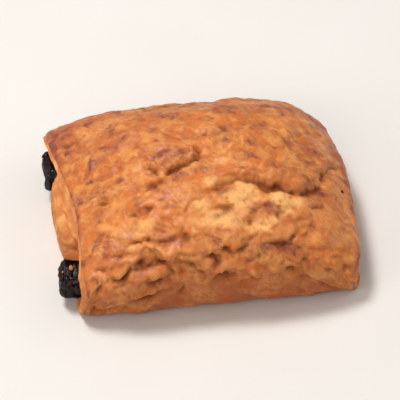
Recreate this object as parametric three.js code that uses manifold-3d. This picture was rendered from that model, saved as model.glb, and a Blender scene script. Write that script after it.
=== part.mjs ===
/**
 * Chocolate pastry roll: a leavened, layered dough folded from both long sides over two chocolate
 * batons, baked on its seam.
 *
 * Millimetres. The roll lies along X, its shown end at -X, its front at -Y, +Z up. The origin is
 * the centre of the footprint, on the surface that the roll rests on.
 *
 * The crust is described by a base form, worked out from the driving sizes, and a relief that
 * raises or lowers it along its normal. The relief is a function of x and of the girth s, which
 * is the distance along the skin from the crest line, positive towards the front.
 */
import * as THREE from 'three';
import Module from 'manifold-3d';

// Driving sizes of the whole roll, mm.
const LENGTH = 126;
const WIDTH = 95.5;
const HEIGHT = 46.8;

// Base form: how the width and height shrink towards the ends, and how square a section is.
const END_NARROWING = 2;
const END_DROP_POWER = 2.8;
const MIDDLE_SQUARENESS = 2.4;
const END_SQUARENESS = 3.2;
const UNDERSIDE_SQUARENESS = 4.6;
const BELLY_HEIGHT = 0.33 * HEIGHT;
const FOOT_TRIM = 0.9;

// Ends: their height, how far the crust's lip stands back from the end of the roll at its front, at
// its deepest and at its back, and the width, as a share of the half width, at which it is deepest,
// and how much more it stands back at the corners. Under the crust a second layer of dough stands
// out beyond the lip, by up to `ledge`. Between the batons the inner dough bulges out to coreFront
// and coreBack from the end of the roll.
const SHOWN_END = {
  height: 25.6, front: 9.2, middle: 10, back: 1.8, deepest: -0.23, foot: 7, corner: 1.2, ledge: 4,
  coreFront: 2.2, coreBack: 0.6,
};
const FAR_END = {
  height: 19.5, front: 2.5, middle: 1.6, back: 7.5, deepest: 0.1, foot: 2.4, corner: 3.5, ledge: 1,
  coreFront: 0.2, coreBack: 0.2,
};
const CRUST_THICKNESS = 3.2;
const GROOVE_DEPTH = 0.9;
const CORE_MIDDLE_Y = -0.6;
const CORE_HALF_WIDTH = 19.8;
const CORE_ROUNDING = 6.5;
const RING_INSETS = [0.3, 1.1, 2.3, CRUST_THICKNESS, 4.2, 6.2];

// Chocolate batons, run through the whole roll. Their ends are rounded, crumbly lumps, which stand
// out to the very end of the roll on the shown side.
const BATON = { width: 16.4, height: 9.8, bottom: 4.7, squareness: 5 };
const BATON_FAR_END_SETBACK = 6;
const BATON_FRONT_Y = -28.5;
const BATON_BACK_Y = 32;
const BATON_CLEARANCE = 0.35;
const BATON_END = { rounding: 3.2, smallest: 0.72, roughness: 0.5, roughLength: 11 };
const BATON_END_STEPS = [0, 0.3, 1, 2, 3.2, 5.5, 8.5, 12];

// Mesh fineness: steps along the roll, round its girth (closer together on top, by the share
// CREST_CROWDING), and through the core of each end.
const LENGTH_STEPS = 54;
const GIRTH_STEPS = 72;
const CREST_CROWDING = 0.3;
const CORE_STEPS = 4;
const BATON_GIRTH_STEPS = 16;
const SECTION_SAMPLES = 240;

// Relief that covers the whole crust, mm: broad swells, stretched wrinkles and small lumps.
const SWELL = { height: 1.2, alongX: 29, alongGirth: 24, seed: 1 };
const WRINKLES = { height: 0.6, alongX: 11, alongGirth: 7.5, seed: 2 };
const LUMPS = { height: 0.45, alongX: 7, alongGirth: 7, seed: 3 };

/**
 * Folds: grooves along a curve from -> to that bends towards `bend`, all as [x, s]. `roll` is the
 * height of the raised fold beside the groove. It lies on the side that swapping `from` and `to`
 * would change.
 */
const FOLDS = [
  // The crescent-shaped pocket left of the crest, under its hump, and the folds round it.
  { from: [-1.5, -2], bend: [-10.2, 9.8], to: [-20, 8.5], depth: 2.9, width: 2.6, roll: 1.4 },
  { from: [-19.5, 9], bend: [-24.5, 4], to: [-25.5, -5], depth: 1.3, width: 2.2, roll: 0.7 },
  { from: [-32, 16], bend: [-36.5, 8], to: [-36, -5], depth: 0.9, width: 2.2, roll: 0.6 },
  { from: [-22.5, 21], bend: [-26, 31], to: [-34.5, 22], depth: 1.8, width: 2.5, roll: 1.1 },
  // The long crease right of the middle, with the fold that overhangs it.
  { from: [22.5, 20.5], bend: [14, 11.5], to: [1.5, 22.5], depth: 1.8, width: 2.6, roll: 1.1 },
  { from: [36, 20], bend: [27, 24.5], to: [19, 18], depth: 1.7, width: 2.5, roll: 1.1 },
  { from: [50.5, 4], bend: [46, 26], to: [32.5, 22], depth: 2.3, width: 2.7, roll: 1.4 },
  { from: [59, -6], bend: [53, -1], to: [49, 8], depth: 1.1, width: 2.3, roll: 0.8 },
  { from: [39.5, 0.5], bend: [39.5, -5], to: [33.5, -12], depth: 0.9, width: 2.2, roll: 0.6 },
  // Wrinkles of the front side, below its shoulder.
  { from: [-35.5, 48.5], bend: [-38.5, 51], to: [-43.5, 50], depth: 1.9, width: 2.2, roll: 0.7 },
  { from: [-8, 47], bend: [-17, 43.5], to: [-26, 45], depth: 1.3, width: 2.4, roll: 1.1 },
  { from: [-34, 55], bend: [-38.5, 60], to: [-43.5, 56], depth: 1.2, width: 2.3, roll: 1 },
  { from: [-14, 62], bend: [-28, 58], to: [-49, 65], depth: 1.4, width: 2.5, roll: 0.9 },
  { from: [35.5, 54], bend: [11.5, 60], to: [-8.5, 55], depth: 1.2, width: 2.9, roll: 0.8 },
  { from: [53.5, 40], bend: [37.5, 48], to: [17.5, 43], depth: 1.1, width: 2.7, roll: 0.8 },
  // Folds of the back side and of the far end.
  { from: [-46.5, -46], bend: [-24.5, -38], to: [-2.5, -48], depth: 1.5, width: 2.8, roll: 1 },
  { from: [7.5, -40], bend: [27.5, -50], to: [49.5, -38], depth: 1.7, width: 2.9, roll: 1.1 },
  { from: [-36.5, -60], bend: [1.5, -54], to: [35.5, -62], depth: 1.2, width: 2.9, roll: 0.8 },
];

/** Rounded bumps (or hollows, with a negative height) of the crust, placed by [x, s]. */
const BUMPS = [
  { at: [-11, -1.5], radii: [6.5, 4.2], height: 1.2 },
  { at: [-28, 1], radii: [4.5, 5.5], height: 0.7 },
  { at: [-30.5, 21], radii: [5, 3.5], height: 0.7 },
  { at: [25, 11], radii: [16, 5], height: 1.2 },
  { at: [15, 28], radii: [19, 6.5], height: -0.9 },
  { at: [-19, 41], radii: [11, 3], height: 1.1 },
  { at: [48.5, -8], radii: [6, 5], height: 0.9 },
  { at: [-42.5, -14], radii: [9, 8], height: 0.8 },
  { at: [-20, -40], radii: [4, 9], height: -0.9 },
  { at: [-32, -38], radii: [8, 9], height: 0.6 },
  { at: [9.5, -26], radii: [12, 9], height: 0.9 },
  { at: [45.5, -34], radii: [9, 8], height: 0.8 },
];

// Underside: shallow hollows that the tray didn't touch, and the seam where the dough laps.
const HOLLOWS = { depth: 1.0, alongX: 17, alongY: 13, seed: 5, share: 0.16 };
const SEAM = { y: 3, sway: 2.2, swayLength: 21, depth: 1.7, width: 1.5, halfLength: 52 };

const CRUST_LOOK = { color: 0xd2854b, roughness: 0.55, metalness: 0 };
const CHOCOLATE_LOOK = { color: 0x2a2224, roughness: 0.6, metalness: 0 };

const mix = THREE.MathUtils.lerp;
const clamp = THREE.MathUtils.clamp;

/** Smooth step from 0 at `start` to 1 at `end`, in either order. */
function ease(start, end, value) {
  const t = clamp((value - start) / (end - start), 0, 1);
  return t * t * (3 - 2 * t);
}

/** Repeatable value in 0..1 for one corner of a noise lattice. */
function cornerValue(column, row, seed) {
  const wave = Math.sin(column * 127.1 + row * 311.7 + seed * 74.7) * 43758.5453;
  return wave - Math.floor(wave);
}

/** Smooth gradient noise in about -1..1, with features about one unit wide. */
function noise(x, y, seed) {
  const column = Math.floor(x);
  const row = Math.floor(y);
  const slopeAt = (i, j) => {
    const angle = 2 * Math.PI * cornerValue(i, j, seed);
    return Math.cos(angle) * (x - i) + Math.sin(angle) * (y - j);
  };
  const alongColumn = ease(0, 1, x - column);
  const near = mix(slopeAt(column, row), slopeAt(column + 1, row), alongColumn);
  const far = mix(slopeAt(column, row + 1), slopeAt(column + 1, row + 1), alongColumn);
  return 1.5 * mix(near, far, ease(0, 1, y - row));
}

/** Noise layer scaled by a relief description such as SWELL. */
function layer(relief, x, s) {
  return relief.height * noise(x / relief.alongX, s / relief.alongGirth, relief.seed);
}

/** Half width, height, belly height and squareness of the section at u, -1..1 along the roll. */
function section(u) {
  const towardsEnd = Math.abs(u);
  const { height: endHeight } = u < 0 ? SHOWN_END : FAR_END;
  const height = endHeight + (HEIGHT - endHeight) * (1 - towardsEnd ** END_DROP_POWER);
  return {
    halfWidth: WIDTH / 2 - END_NARROWING * towardsEnd ** 4,
    height,
    belly: Math.min(BELLY_HEIGHT, 0.5 * height),
    squareness: mix(MIDDLE_SQUARENESS, END_SQUARENESS, towardsEnd ** 3),
  };
}

/** Section outline as [y, z] points at equal steps of girth, from the seam round the back. */
function sectionOutline(u, count) {
  const { halfWidth, height, belly, squareness } = section(u);
  const samples = [];
  for (let i = 0; i <= SECTION_SAMPLES; i += 1) {
    const angle = -Math.PI / 2 + (2 * Math.PI * i) / SECTION_SAMPLES;
    const across = Math.cos(angle);
    const up = Math.sin(angle);
    const power = up >= 0 ? squareness : UNDERSIDE_SQUARENESS;
    const reach = up >= 0 ? height - belly : belly + FOOT_TRIM;
    const y = halfWidth * Math.sign(across) * Math.abs(across) ** (2 / power);
    const z = belly + reach * Math.sign(up) * Math.abs(up) ** (2 / power);
    samples.push([y, Math.max(0, z)]);
  }
  const lengths = [0];
  for (let i = 1; i < samples.length; i += 1) {
    const step = Math.hypot(samples[i][0] - samples[i - 1][0], samples[i][1] - samples[i - 1][1]);
    lengths.push(lengths[i - 1] + step);
  }
  const girth = lengths[SECTION_SAMPLES];
  const points = [];
  let segment = 0;
  for (let k = 0; k < count; k += 1) {
    const turn = k / count;
    const target = girth * (turn + CREST_CROWDING * Math.sin(2 * Math.PI * turn) / (2 * Math.PI));
    while (lengths[segment + 1] < target) segment += 1;
    const share = (target - lengths[segment]) / (lengths[segment + 1] - lengths[segment]);
    points.push({
      y: mix(samples[segment][0], samples[segment + 1][0], share),
      z: mix(samples[segment][1], samples[segment + 1][1], share),
      s: target - girth / 2,
    });
  }
  return points;
}

/** How far the lip of one end stands back from the end of the roll at width y and height z. */
function lipSetback(end, y, z) {
  const side = y / (WIDTH / 2);
  const along = end.middle
    + (end.front - end.middle) * ease(end.deepest, -0.9, side)
    + (end.back - end.middle) * ease(end.deepest, 1, side);
  const corner = end.corner * ease(0.72, 1.02, Math.abs(side));
  return mix(end.foot, along, ease(0.05, 0.7, z / end.height)) + corner;
}

/** Point of the base form at u along the roll for one outline point. */
function basePoint(u, { y, z }) {
  const left = -LENGTH / 2 + lipSetback(SHOWN_END, y, z);
  const right = LENGTH / 2 - lipSetback(FAR_END, y, z);
  return new THREE.Vector3(mix(left, right, (u + 1) / 2), y, z);
}

/** Point of the curve of a fold at t, 0..1. */
function foldPoint({ from, bend, to }, t) {
  const rest = 1 - t;
  return [0, 1].map((axis) => rest * rest * from[axis] + 2 * rest * t * bend[axis] + t * t * to[axis]);
}

/** Height that one fold adds at (x, s): a groove, with the raised roll on its left. */
function foldRelief(fold, x, s) {
  const steps = 14;
  let nearest = { distance: Infinity, side: 1, t: 0 };
  let start = foldPoint(fold, 0);
  for (let i = 1; i <= steps; i += 1) {
    const end = foldPoint(fold, i / steps);
    const run = [end[0] - start[0], end[1] - start[1]];
    const offset = [x - start[0], s - start[1]];
    const along = (run[0] * offset[0] + run[1] * offset[1]) / (run[0] ** 2 + run[1] ** 2);
    const share = clamp(along, 0, 1);
    const distance = Math.hypot(offset[0] - share * run[0], offset[1] - share * run[1]);
    if (distance < nearest.distance) {
      const side = Math.sign(run[0] * offset[1] - run[1] * offset[0]) || 1;
      nearest = { distance, side, t: (i - 1 + share) / steps };
    }
    start = end;
  }
  const reach = nearest.distance / fold.width;
  if (reach > 5) return 0;
  const fade = Math.min(1, 2.4 * Math.sqrt(nearest.t * (1 - nearest.t)));
  const groove = -fold.depth * Math.exp(-(reach ** 2));
  const roll = fold.roll * Math.exp(-((nearest.side * reach - 1.7) ** 2) / 1.4);
  return fade * (groove + roll);
}

/** Height that one bump adds at (x, s). */
function bumpRelief({ at, radii, height }, x, s) {
  return height * Math.exp(-(((x - at[0]) / radii[0]) ** 2) - ((s - at[1]) / radii[1]) ** 2);
}

/** Relief of the crust above the tray, mm along the normal. */
function crustRelief(x, s) {
  const general = layer(SWELL, x, s) + layer(WRINKLES, x, s) + layer(LUMPS, x, s);
  const folds = FOLDS.reduce((sum, fold) => sum + foldRelief(fold, x, s), 0);
  const bumps = BUMPS.reduce((sum, bump) => sum + bumpRelief(bump, x, s), 0);
  return general + folds + bumps;
}

/** Height by which the underside is hollowed above the tray at (x, y). */
function undersideLift(x, y) {
  const open = noise(x / HOLLOWS.alongX, y / HOLLOWS.alongY, HOLLOWS.seed);
  const hollow = HOLLOWS.depth * ease(HOLLOWS.share, HOLLOWS.share + 0.3, open);
  const seamY = SEAM.y + SEAM.sway * noise(x / SEAM.swayLength, 0, HOLLOWS.seed + 1);
  const seam = SEAM.depth * Math.exp(-(((y - seamY) / SEAM.width) ** 2))
    * ease(SEAM.halfLength + 8, SEAM.halfLength, Math.abs(x));
  return Math.max(hollow, seam);
}

/** Rings of the crust from the shown lip to the far lip, displaced by the relief. */
function crustRings() {
  const rings = [];
  for (let i = 0; i <= LENGTH_STEPS; i += 1) {
    const u = -1 + (2 * i) / LENGTH_STEPS;
    const outline = sectionOutline(u, GIRTH_STEPS);
    rings.push(outline.map((point) => ({ base: basePoint(u, point), s: point.s })));
  }
  return rings.map((ring, i) => ring.map(({ base, s }, k) => {
    const before = ring[(k + GIRTH_STEPS - 1) % GIRTH_STEPS].base;
    const after = ring[(k + 1) % GIRTH_STEPS].base;
    const left = rings[Math.max(0, i - 1)][k].base;
    const right = rings[Math.min(LENGTH_STEPS, i + 1)][k].base;
    const normal = after.clone().sub(before).cross(right.clone().sub(left)).normalize();
    const aboveTray = ease(0.5, 5, base.z);
    const nearLip = mix(0.45, 1, ease(0, 3, Math.min(i, LENGTH_STEPS - i)));
    const point = base.clone().addScaledVector(normal, aboveTray * nearLip * crustRelief(base.x, s));
    point.z = Math.max(0, point.z, (1 - aboveTray) * undersideLift(base.x, base.y));
    return point;
  }));
}

/** How far the second layer of dough stands out beyond the crust's lip at (y, z). */
function ledgeReach(end, y, z) {
  const share = 0.25 + 0.2 * ease(25, -30, y) + 0.58 * Math.exp(-(((y + 4) / 16) ** 2));
  return end.ledge * share * ease(3, 13, z);
}

/**
 * Point of an end's face at (y, z), `inset` inside the outline: a rounded lip, the ledge of the
 * second layer, a groove inside it, and the inner dough, which bulges out between the batons.
 * `outward` is -1 at the shown end.
 */
function facePoint(outward, y, z, inset) {
  const end = outward < 0 ? SHOWN_END : FAR_END;
  const fromCentre = Math.abs(y - CORE_MIDDLE_Y);
  const across = Math.sqrt(Math.max(0, 1 - (fromCentre / CORE_HALF_WIDTH) ** 4));
  const beyondCrust = clamp((inset - CRUST_THICKNESS) / CORE_ROUNDING, 0, 1);
  const rounded = Math.sqrt(1 - (1 - beyondCrust) ** 2);
  const lip = -0.5 * ease(0, 0.9, inset) * ease(CRUST_THICKNESS, 0.9, inset);
  const groove = GROOVE_DEPTH * ease(0.9, CRUST_THICKNESS, inset);
  const layer = ease(0.3, 1.1, inset) * ease(CRUST_THICKNESS, 2.3, inset);
  const rim = lipSetback(end, y, z) + lip + groove - layer * ledgeReach(end, y, z);
  const core = mix(end.coreFront, end.coreBack, ease(-CORE_HALF_WIDTH, CORE_HALF_WIDTH, y));
  const setback = mix(rim, core, across * rounded) + 0.3 * noise(y / 6, z / 4, 8);
  return new THREE.Vector3(outward * (LENGTH / 2 - setback), y, z);
}

/** Inner rings of one end, from its lip ring; each is a list of points. */
function endRings(lipRing, outward) {
  const count = lipRing.length;
  const inward = lipRing.map((point, k) => {
    const before = lipRing[(k + count - 1) % count];
    const after = lipRing[(k + 1) % count];
    return new THREE.Vector2(-(after.z - before.z), after.y - before.y).normalize();
  });
  return RING_INSETS.map((inset) => lipRing.map(({ y, z }, k) => (
    facePoint(outward, y + inward[k].x * inset, z + inward[k].y * inset, inset)
  )));
}

/** Points of a closed skin: rings of equal count, each end closed by a core of short columns. */
class Skin {
  constructor() {
    this.positions = [];
    this.triangles = [];
  }

  add(point) {
    this.positions.push(point.x, point.y, point.z);
    return this.positions.length / 3 - 1;
  }

  /** Adds a ring of points and returns their indices. */
  ring(points) {
    return points.map((point) => this.add(point));
  }

  /** Adds a four-sided face, split along its shorter diagonal. */
  quad(a, b, c, d) {
    const across = this.point(a).distanceTo(this.point(c));
    const halves = across <= this.point(b).distanceTo(this.point(d))
      ? [[a, b, c], [a, c, d]] : [[a, b, d], [b, c, d]];
    for (const corners of halves) {
      if (new Set(corners).size === 3) this.triangles.push(...corners);
    }
  }

  /** Joins two rings of equal count. */
  band(ring, next) {
    ring.forEach((index, k) => {
      const after = (k + 1) % ring.length;
      this.quad(index, ring[after], next[after], next[k]);
    });
  }

  /** Closes a ring by columns that join its lower and upper half; `place` puts the inner points. */
  core(ring, steps, outward, place) {
    const count = ring.length;
    const quarter = count / 4;
    const columns = [];
    for (let c = 0; c <= count / 2; c += 1) {
      const top = ring[quarter + c];
      const bottom = ring[(quarter - c + count) % count];
      const column = [bottom];
      const pinched = top === bottom;
      for (let j = 1; j < steps; j += 1) {
        column.push(pinched ? top : this.add(place(this.point(bottom), this.point(top), j / steps)));
      }
      column.push(top);
      columns.push(column);
    }
    for (let c = 0; c < columns.length - 1; c += 1) {
      for (let j = 0; j < steps; j += 1) {
        const corners = [columns[c][j], columns[c + 1][j], columns[c + 1][j + 1], columns[c][j + 1]];
        if (outward > 0) corners.reverse();
        this.quad(...corners);
      }
    }
  }

  point(index) {
    return new THREE.Vector3().fromArray(this.positions, index * 3);
  }

  solid(wasm) {
    return new wasm.Manifold(new wasm.Mesh({
      numProp: 3,
      vertProperties: new Float32Array(this.positions),
      triVerts: new Uint32Array(this.triangles),
    }));
  }
}

/** Crust and inner dough as one closed skin. */
function doughSkin() {
  const skin = new Skin();
  const rings = crustRings();
  const shownEnd = endRings(rings[0], -1).reverse();
  const farEnd = endRings(rings[LENGTH_STEPS], 1);
  const indices = [...shownEnd, ...rings, ...farEnd].map((ring) => skin.ring(ring));
  for (let i = 0; i < indices.length - 1; i += 1) skin.band(indices[i], indices[i + 1]);
  const innermost = RING_INSETS.at(-1);
  const closeEnd = (ring, outward) => {
    skin.core(ring, CORE_STEPS, outward, (bottom, top, share) => {
      const { y, z } = bottom.clone().lerp(top, share);
      const depth = Math.min(share, 1 - share) * bottom.distanceTo(top);
      return facePoint(outward, y, z, innermost + depth);
    });
  };
  closeEnd(indices[0], -1);
  closeEnd(indices.at(-1), 1);
  return skin;
}

/** Ring of a baton's section at x, shrunk by `size` towards its middle and grown by `grow`. */
function batonRing(x, y, size, grow, roughness) {
  const ring = [];
  for (let k = 0; k < BATON_GIRTH_STEPS; k += 1) {
    const angle = -Math.PI / 2 + (2 * Math.PI * (k + 0.5)) / BATON_GIRTH_STEPS;
    const across = Math.sign(Math.cos(angle)) * Math.abs(Math.cos(angle)) ** (2 / BATON.squareness);
    const up = Math.sign(Math.sin(angle)) * Math.abs(Math.sin(angle)) ** (2 / BATON.squareness);
    const worn = roughness * (0.5 + 0.5 * noise(x / 2.6, k / 1.4 + y, 9));
    ring.push(new THREE.Vector3(
      x,
      y + across * (size * BATON.width / 2 - worn + grow),
      BATON.bottom + BATON.height / 2 + up * (size * BATON.height / 2 - worn + grow),
    ));
  }
  return ring;
}

/** Closed skin through the rings of a baton or a channel, from -X to +X. */
function prismSkin(rings) {
  const skin = new Skin();
  const indices = rings.map((ring) => skin.ring(ring));
  for (let i = 0; i < indices.length - 1; i += 1) skin.band(indices[i], indices[i + 1]);
  const straight = (bottom, top, share) => bottom.clone().lerp(top, share);
  skin.core(indices[0], 2, -1, straight);
  skin.core(indices.at(-1), 2, 1, straight);
  return skin;
}

/** Baton centred on y: straight inside the roll, with worn, rounded ends. */
function batonSkin(y) {
  const ringAt = (fromEnd, end) => {
    const inRounding = clamp(1 - fromEnd / BATON_END.rounding, 0, 1);
    const size = mix(BATON_END.smallest, 1, Math.sqrt(1 - inRounding ** 2));
    const roughness = BATON_END.roughness * ease(BATON_END.roughLength, 2, fromEnd);
    return batonRing(end - Math.sign(end) * fromEnd, y, size, 0, roughness);
  };
  const shownEnd = BATON_END_STEPS.map((fromEnd) => ringAt(fromEnd, -LENGTH / 2));
  const farX = LENGTH / 2 - BATON_FAR_END_SETBACK;
  const farEnd = BATON_END_STEPS.map((fromEnd) => ringAt(fromEnd, farX)).reverse();
  return prismSkin([...shownEnd, ...farEnd]);
}

/** Straight channel for the baton centred on y, longer than the roll. */
function channelSkin(y) {
  return prismSkin([-1, 1].map((end) => batonRing(end * LENGTH, y, 1, BATON_CLEARANCE, 0)));
}

/** Named mesh of a solid. */
function meshOf(name, solid, look) {
  const { vertProperties, triVerts } = solid.getMesh();
  const geometry = new THREE.BufferGeometry();
  geometry.setAttribute('position', new THREE.BufferAttribute(new Float32Array(vertProperties), 3));
  geometry.setIndex(new THREE.BufferAttribute(new Uint32Array(triVerts), 1));
  geometry.computeVertexNormals();
  const mesh = new THREE.Mesh(geometry, new THREE.MeshStandardMaterial(look));
  mesh.name = name;
  return mesh;
}

/** The roll: dough with a channel for each baton, and the batons in them. */
async function buildRoll() {
  const wasm = await Module();
  wasm.setup();
  const batons = { chocolate_front: BATON_FRONT_Y, chocolate_back: BATON_BACK_Y };
  let dough = doughSkin().solid(wasm);
  const roll = new THREE.Group();
  for (const [name, y] of Object.entries(batons)) {
    dough = dough.subtract(channelSkin(y).solid(wasm));
    roll.add(meshOf(name, batonSkin(y).solid(wasm), CHOCOLATE_LOOK));
  }
  roll.add(meshOf('pastry', dough, CRUST_LOOK));
  return roll;
}

export default await buildRoll();
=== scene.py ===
"""A chocolate pastry roll: flaky browned dough folded over two bars of dark chocolate.

The roll lies along X on its seam. Its shown end is at -X and its front at -Y. Every surface is
worked out in millimetres from the base form and the girth coordinate s, the distance along the
skin from the crest line, positive towards the front, and is turned into metres at the end.
"""
from __future__ import annotations

import logging
import math
from abc import ABC, abstractmethod
from dataclasses import dataclass, field
from enum import Enum, IntEnum
from typing import ClassVar

import bmesh
import bpy
import numpy as np
from mathutils import Matrix, Vector

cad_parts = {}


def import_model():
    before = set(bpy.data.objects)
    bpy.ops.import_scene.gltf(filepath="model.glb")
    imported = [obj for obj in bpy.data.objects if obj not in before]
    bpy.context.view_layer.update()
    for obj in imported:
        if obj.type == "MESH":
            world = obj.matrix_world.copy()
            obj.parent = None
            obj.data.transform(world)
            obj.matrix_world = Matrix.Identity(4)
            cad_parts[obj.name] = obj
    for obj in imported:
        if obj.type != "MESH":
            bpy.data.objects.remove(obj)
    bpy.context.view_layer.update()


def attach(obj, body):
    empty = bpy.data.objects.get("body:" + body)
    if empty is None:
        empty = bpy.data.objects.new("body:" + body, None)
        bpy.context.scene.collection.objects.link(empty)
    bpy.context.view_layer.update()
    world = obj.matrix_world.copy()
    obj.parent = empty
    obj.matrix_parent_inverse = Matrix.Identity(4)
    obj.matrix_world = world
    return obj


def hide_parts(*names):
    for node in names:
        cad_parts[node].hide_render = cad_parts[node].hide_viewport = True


LOG = logging.getLogger("pastry_roll")
MM = 0.001
Array = np.ndarray

# Size and seed of each layer of finer noise against the one before, and what spreads the three
# kinds of noise over about -1 to 1.
OCTAVE_SCALE = 2.03
OCTAVE_SEED = 0.31
NOISE_SPREAD = 1.5
FRACTAL_SPREAD = 1.3
SOLID_SPREAD = 1.4


# ---- Helpers of the forms ----------------------------------------


def mix(start: Array | float, end: Array | float, share: Array | float) -> Array | float:
    """Return the value `share` of the way from `start` to `end`."""
    return start + (end - start) * share


def ease(start: float, end: float, value: Array | float) -> Array:
    """Return a smooth step.

    Args:
        start: Value at which the step is 0.
        end: Value at which the step is 1; it may be below `start`.
        value: Values to look up.

    Returns:
        The step at each value, 0 to 1.
    """
    share = np.clip((np.asarray(value, float) - start) / (end - start), 0.0, 1.0)
    return share * share * (3.0 - 2.0 * share)


def bell(distance: Array | float) -> Array:
    """Return a bell curve that is 1 at no distance and fades out at about two units."""
    return np.exp(-np.square(distance))


def oval(x: Array, y: Array, middle: tuple[float, float], radii: tuple[float, float]) -> Array:
    """Return the distance of (x, y) from `middle`, 1 on the oval with these radii."""
    return np.hypot((x - middle[0]) / radii[0], (y - middle[1]) / radii[1])


def signed_power(value: Array, power: float) -> Array:
    """Return `value` raised to `power` with its sign kept."""
    return np.sign(value) * np.abs(value) ** power


def corner_value(column: Array, row: Array, seed: float) -> Array:
    """Return a repeatable, well scattered value, 0 to 1, for each corner of a noise lattice."""
    wave = np.sin(column * 127.1 + row * 311.7 + seed * 74.7) * 43758.5453
    return wave - np.floor(wave)


def noise(x: Array, y: Array, seed: float) -> Array:
    """Return smooth gradient noise.

    Args:
        x: First coordinate, in units of the size of a feature.
        y: Second coordinate, in the same units.
        seed: Which of the noise fields to use.

    Returns:
        The noise, about -1 to 1.
    """
    column, row = np.floor(x), np.floor(y)

    def slope(i: Array, j: Array) -> Array:
        """Return the height that the lattice corner (i, j) gives to each point."""
        angle = 2.0 * math.pi * corner_value(i, j, seed)
        return np.cos(angle) * (x - i) + np.sin(angle) * (y - j)

    along = ease(0.0, 1.0, x - column)
    near = mix(slope(column, row), slope(column + 1, row), along)
    far = mix(slope(column, row + 1), slope(column + 1, row + 1), along)
    return NOISE_SPREAD * mix(near, far, ease(0.0, 1.0, y - row))


def fractal(x: Array, y: Array, seed: float, octaves: int = 3, gain: float = 0.5) -> Array:
    """Return noise with finer noise added on it.

    Args:
        x: First coordinate, in units of the largest feature.
        y: Second coordinate, in the same units.
        seed: Which of the noise fields to use.
        octaves: Number of layers; each is half as large as the one before.
        gain: Height of each layer as a share of the one before.

    Returns:
        The noise, about -1 to 1.
    """
    total, weight = np.zeros(np.shape(x)), 0.0
    for octave in range(octaves):
        scale, share = OCTAVE_SCALE ** octave, gain ** octave
        layer_seed = seed + OCTAVE_SEED * octave
        total = total + share * noise(x * scale + 3.7 * octave, y * scale, layer_seed)
        weight += share
    return total / weight * FRACTAL_SPREAD


def solid_noise(points: Array, size: float, seed: float, octaves: int = 1) -> Array:
    """Return noise that is even in all directions of space.

    Args:
        points: Points, with x, y and z on the last axis.
        size: Size of a feature, in the points' unit.
        seed: Which of the noise fields to use.
        octaves: Number of layers of finer noise.

    Returns:
        The noise, about -1 to 1.
    """
    total, weight = np.zeros(points.shape[:-1]), 0.0
    for octave in range(octaves):
        place = points / size * OCTAVE_SCALE ** octave
        cell = np.floor(place)
        share = ease(0.0, 1.0, place - cell)
        column, row, layer = cell[..., 0], cell[..., 1], cell[..., 2]
        levels = []
        for up in (0, 1):
            level_seed = seed + OCTAVE_SEED * octave + 0.173 * (layer + up)
            near, far = (
                mix(corner_value(column, row + further, level_seed),
                    corner_value(column + 1, row + further, level_seed), share[..., 0])
                for further in (0, 1))
            levels.append(mix(near, far, share[..., 1]))
        total = total + 0.5 ** octave * (2 * mix(levels[0], levels[1], share[..., 2]) - 1)
        weight += 0.5 ** octave
    return total / weight * SOLID_SPREAD


def ridges(x: Array, y: Array, seed: float) -> Array:
    """Return 0 to 1 noise with sharp crests, as creased skin has."""
    return (1.0 - np.clip(np.abs(noise(x, y, seed)) * 1.6, 0.0, 1.0)) ** 2


# ---- Base form of the roll ---------------------------------------


class Side(Enum):
    """The two ends of the roll."""

    SHOWN = -1
    FAR = 1


@dataclass(frozen=True)
class EndForm:
    """One end: its height, and how far its parts stand back from the end of the roll, mm.

    The lip stands back by front, middle and back, with its middle at the share `middle_at` of
    the half width, and stands back more at the corners. A second layer stands out by up to
    `ledge` from it. The inner dough reaches out to core_front and core_back.
    """

    height: float
    front: float
    middle: float
    back: float
    middle_at: float
    foot: float
    corner: float
    ledge: float
    core_front: float
    core_back: float


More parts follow.
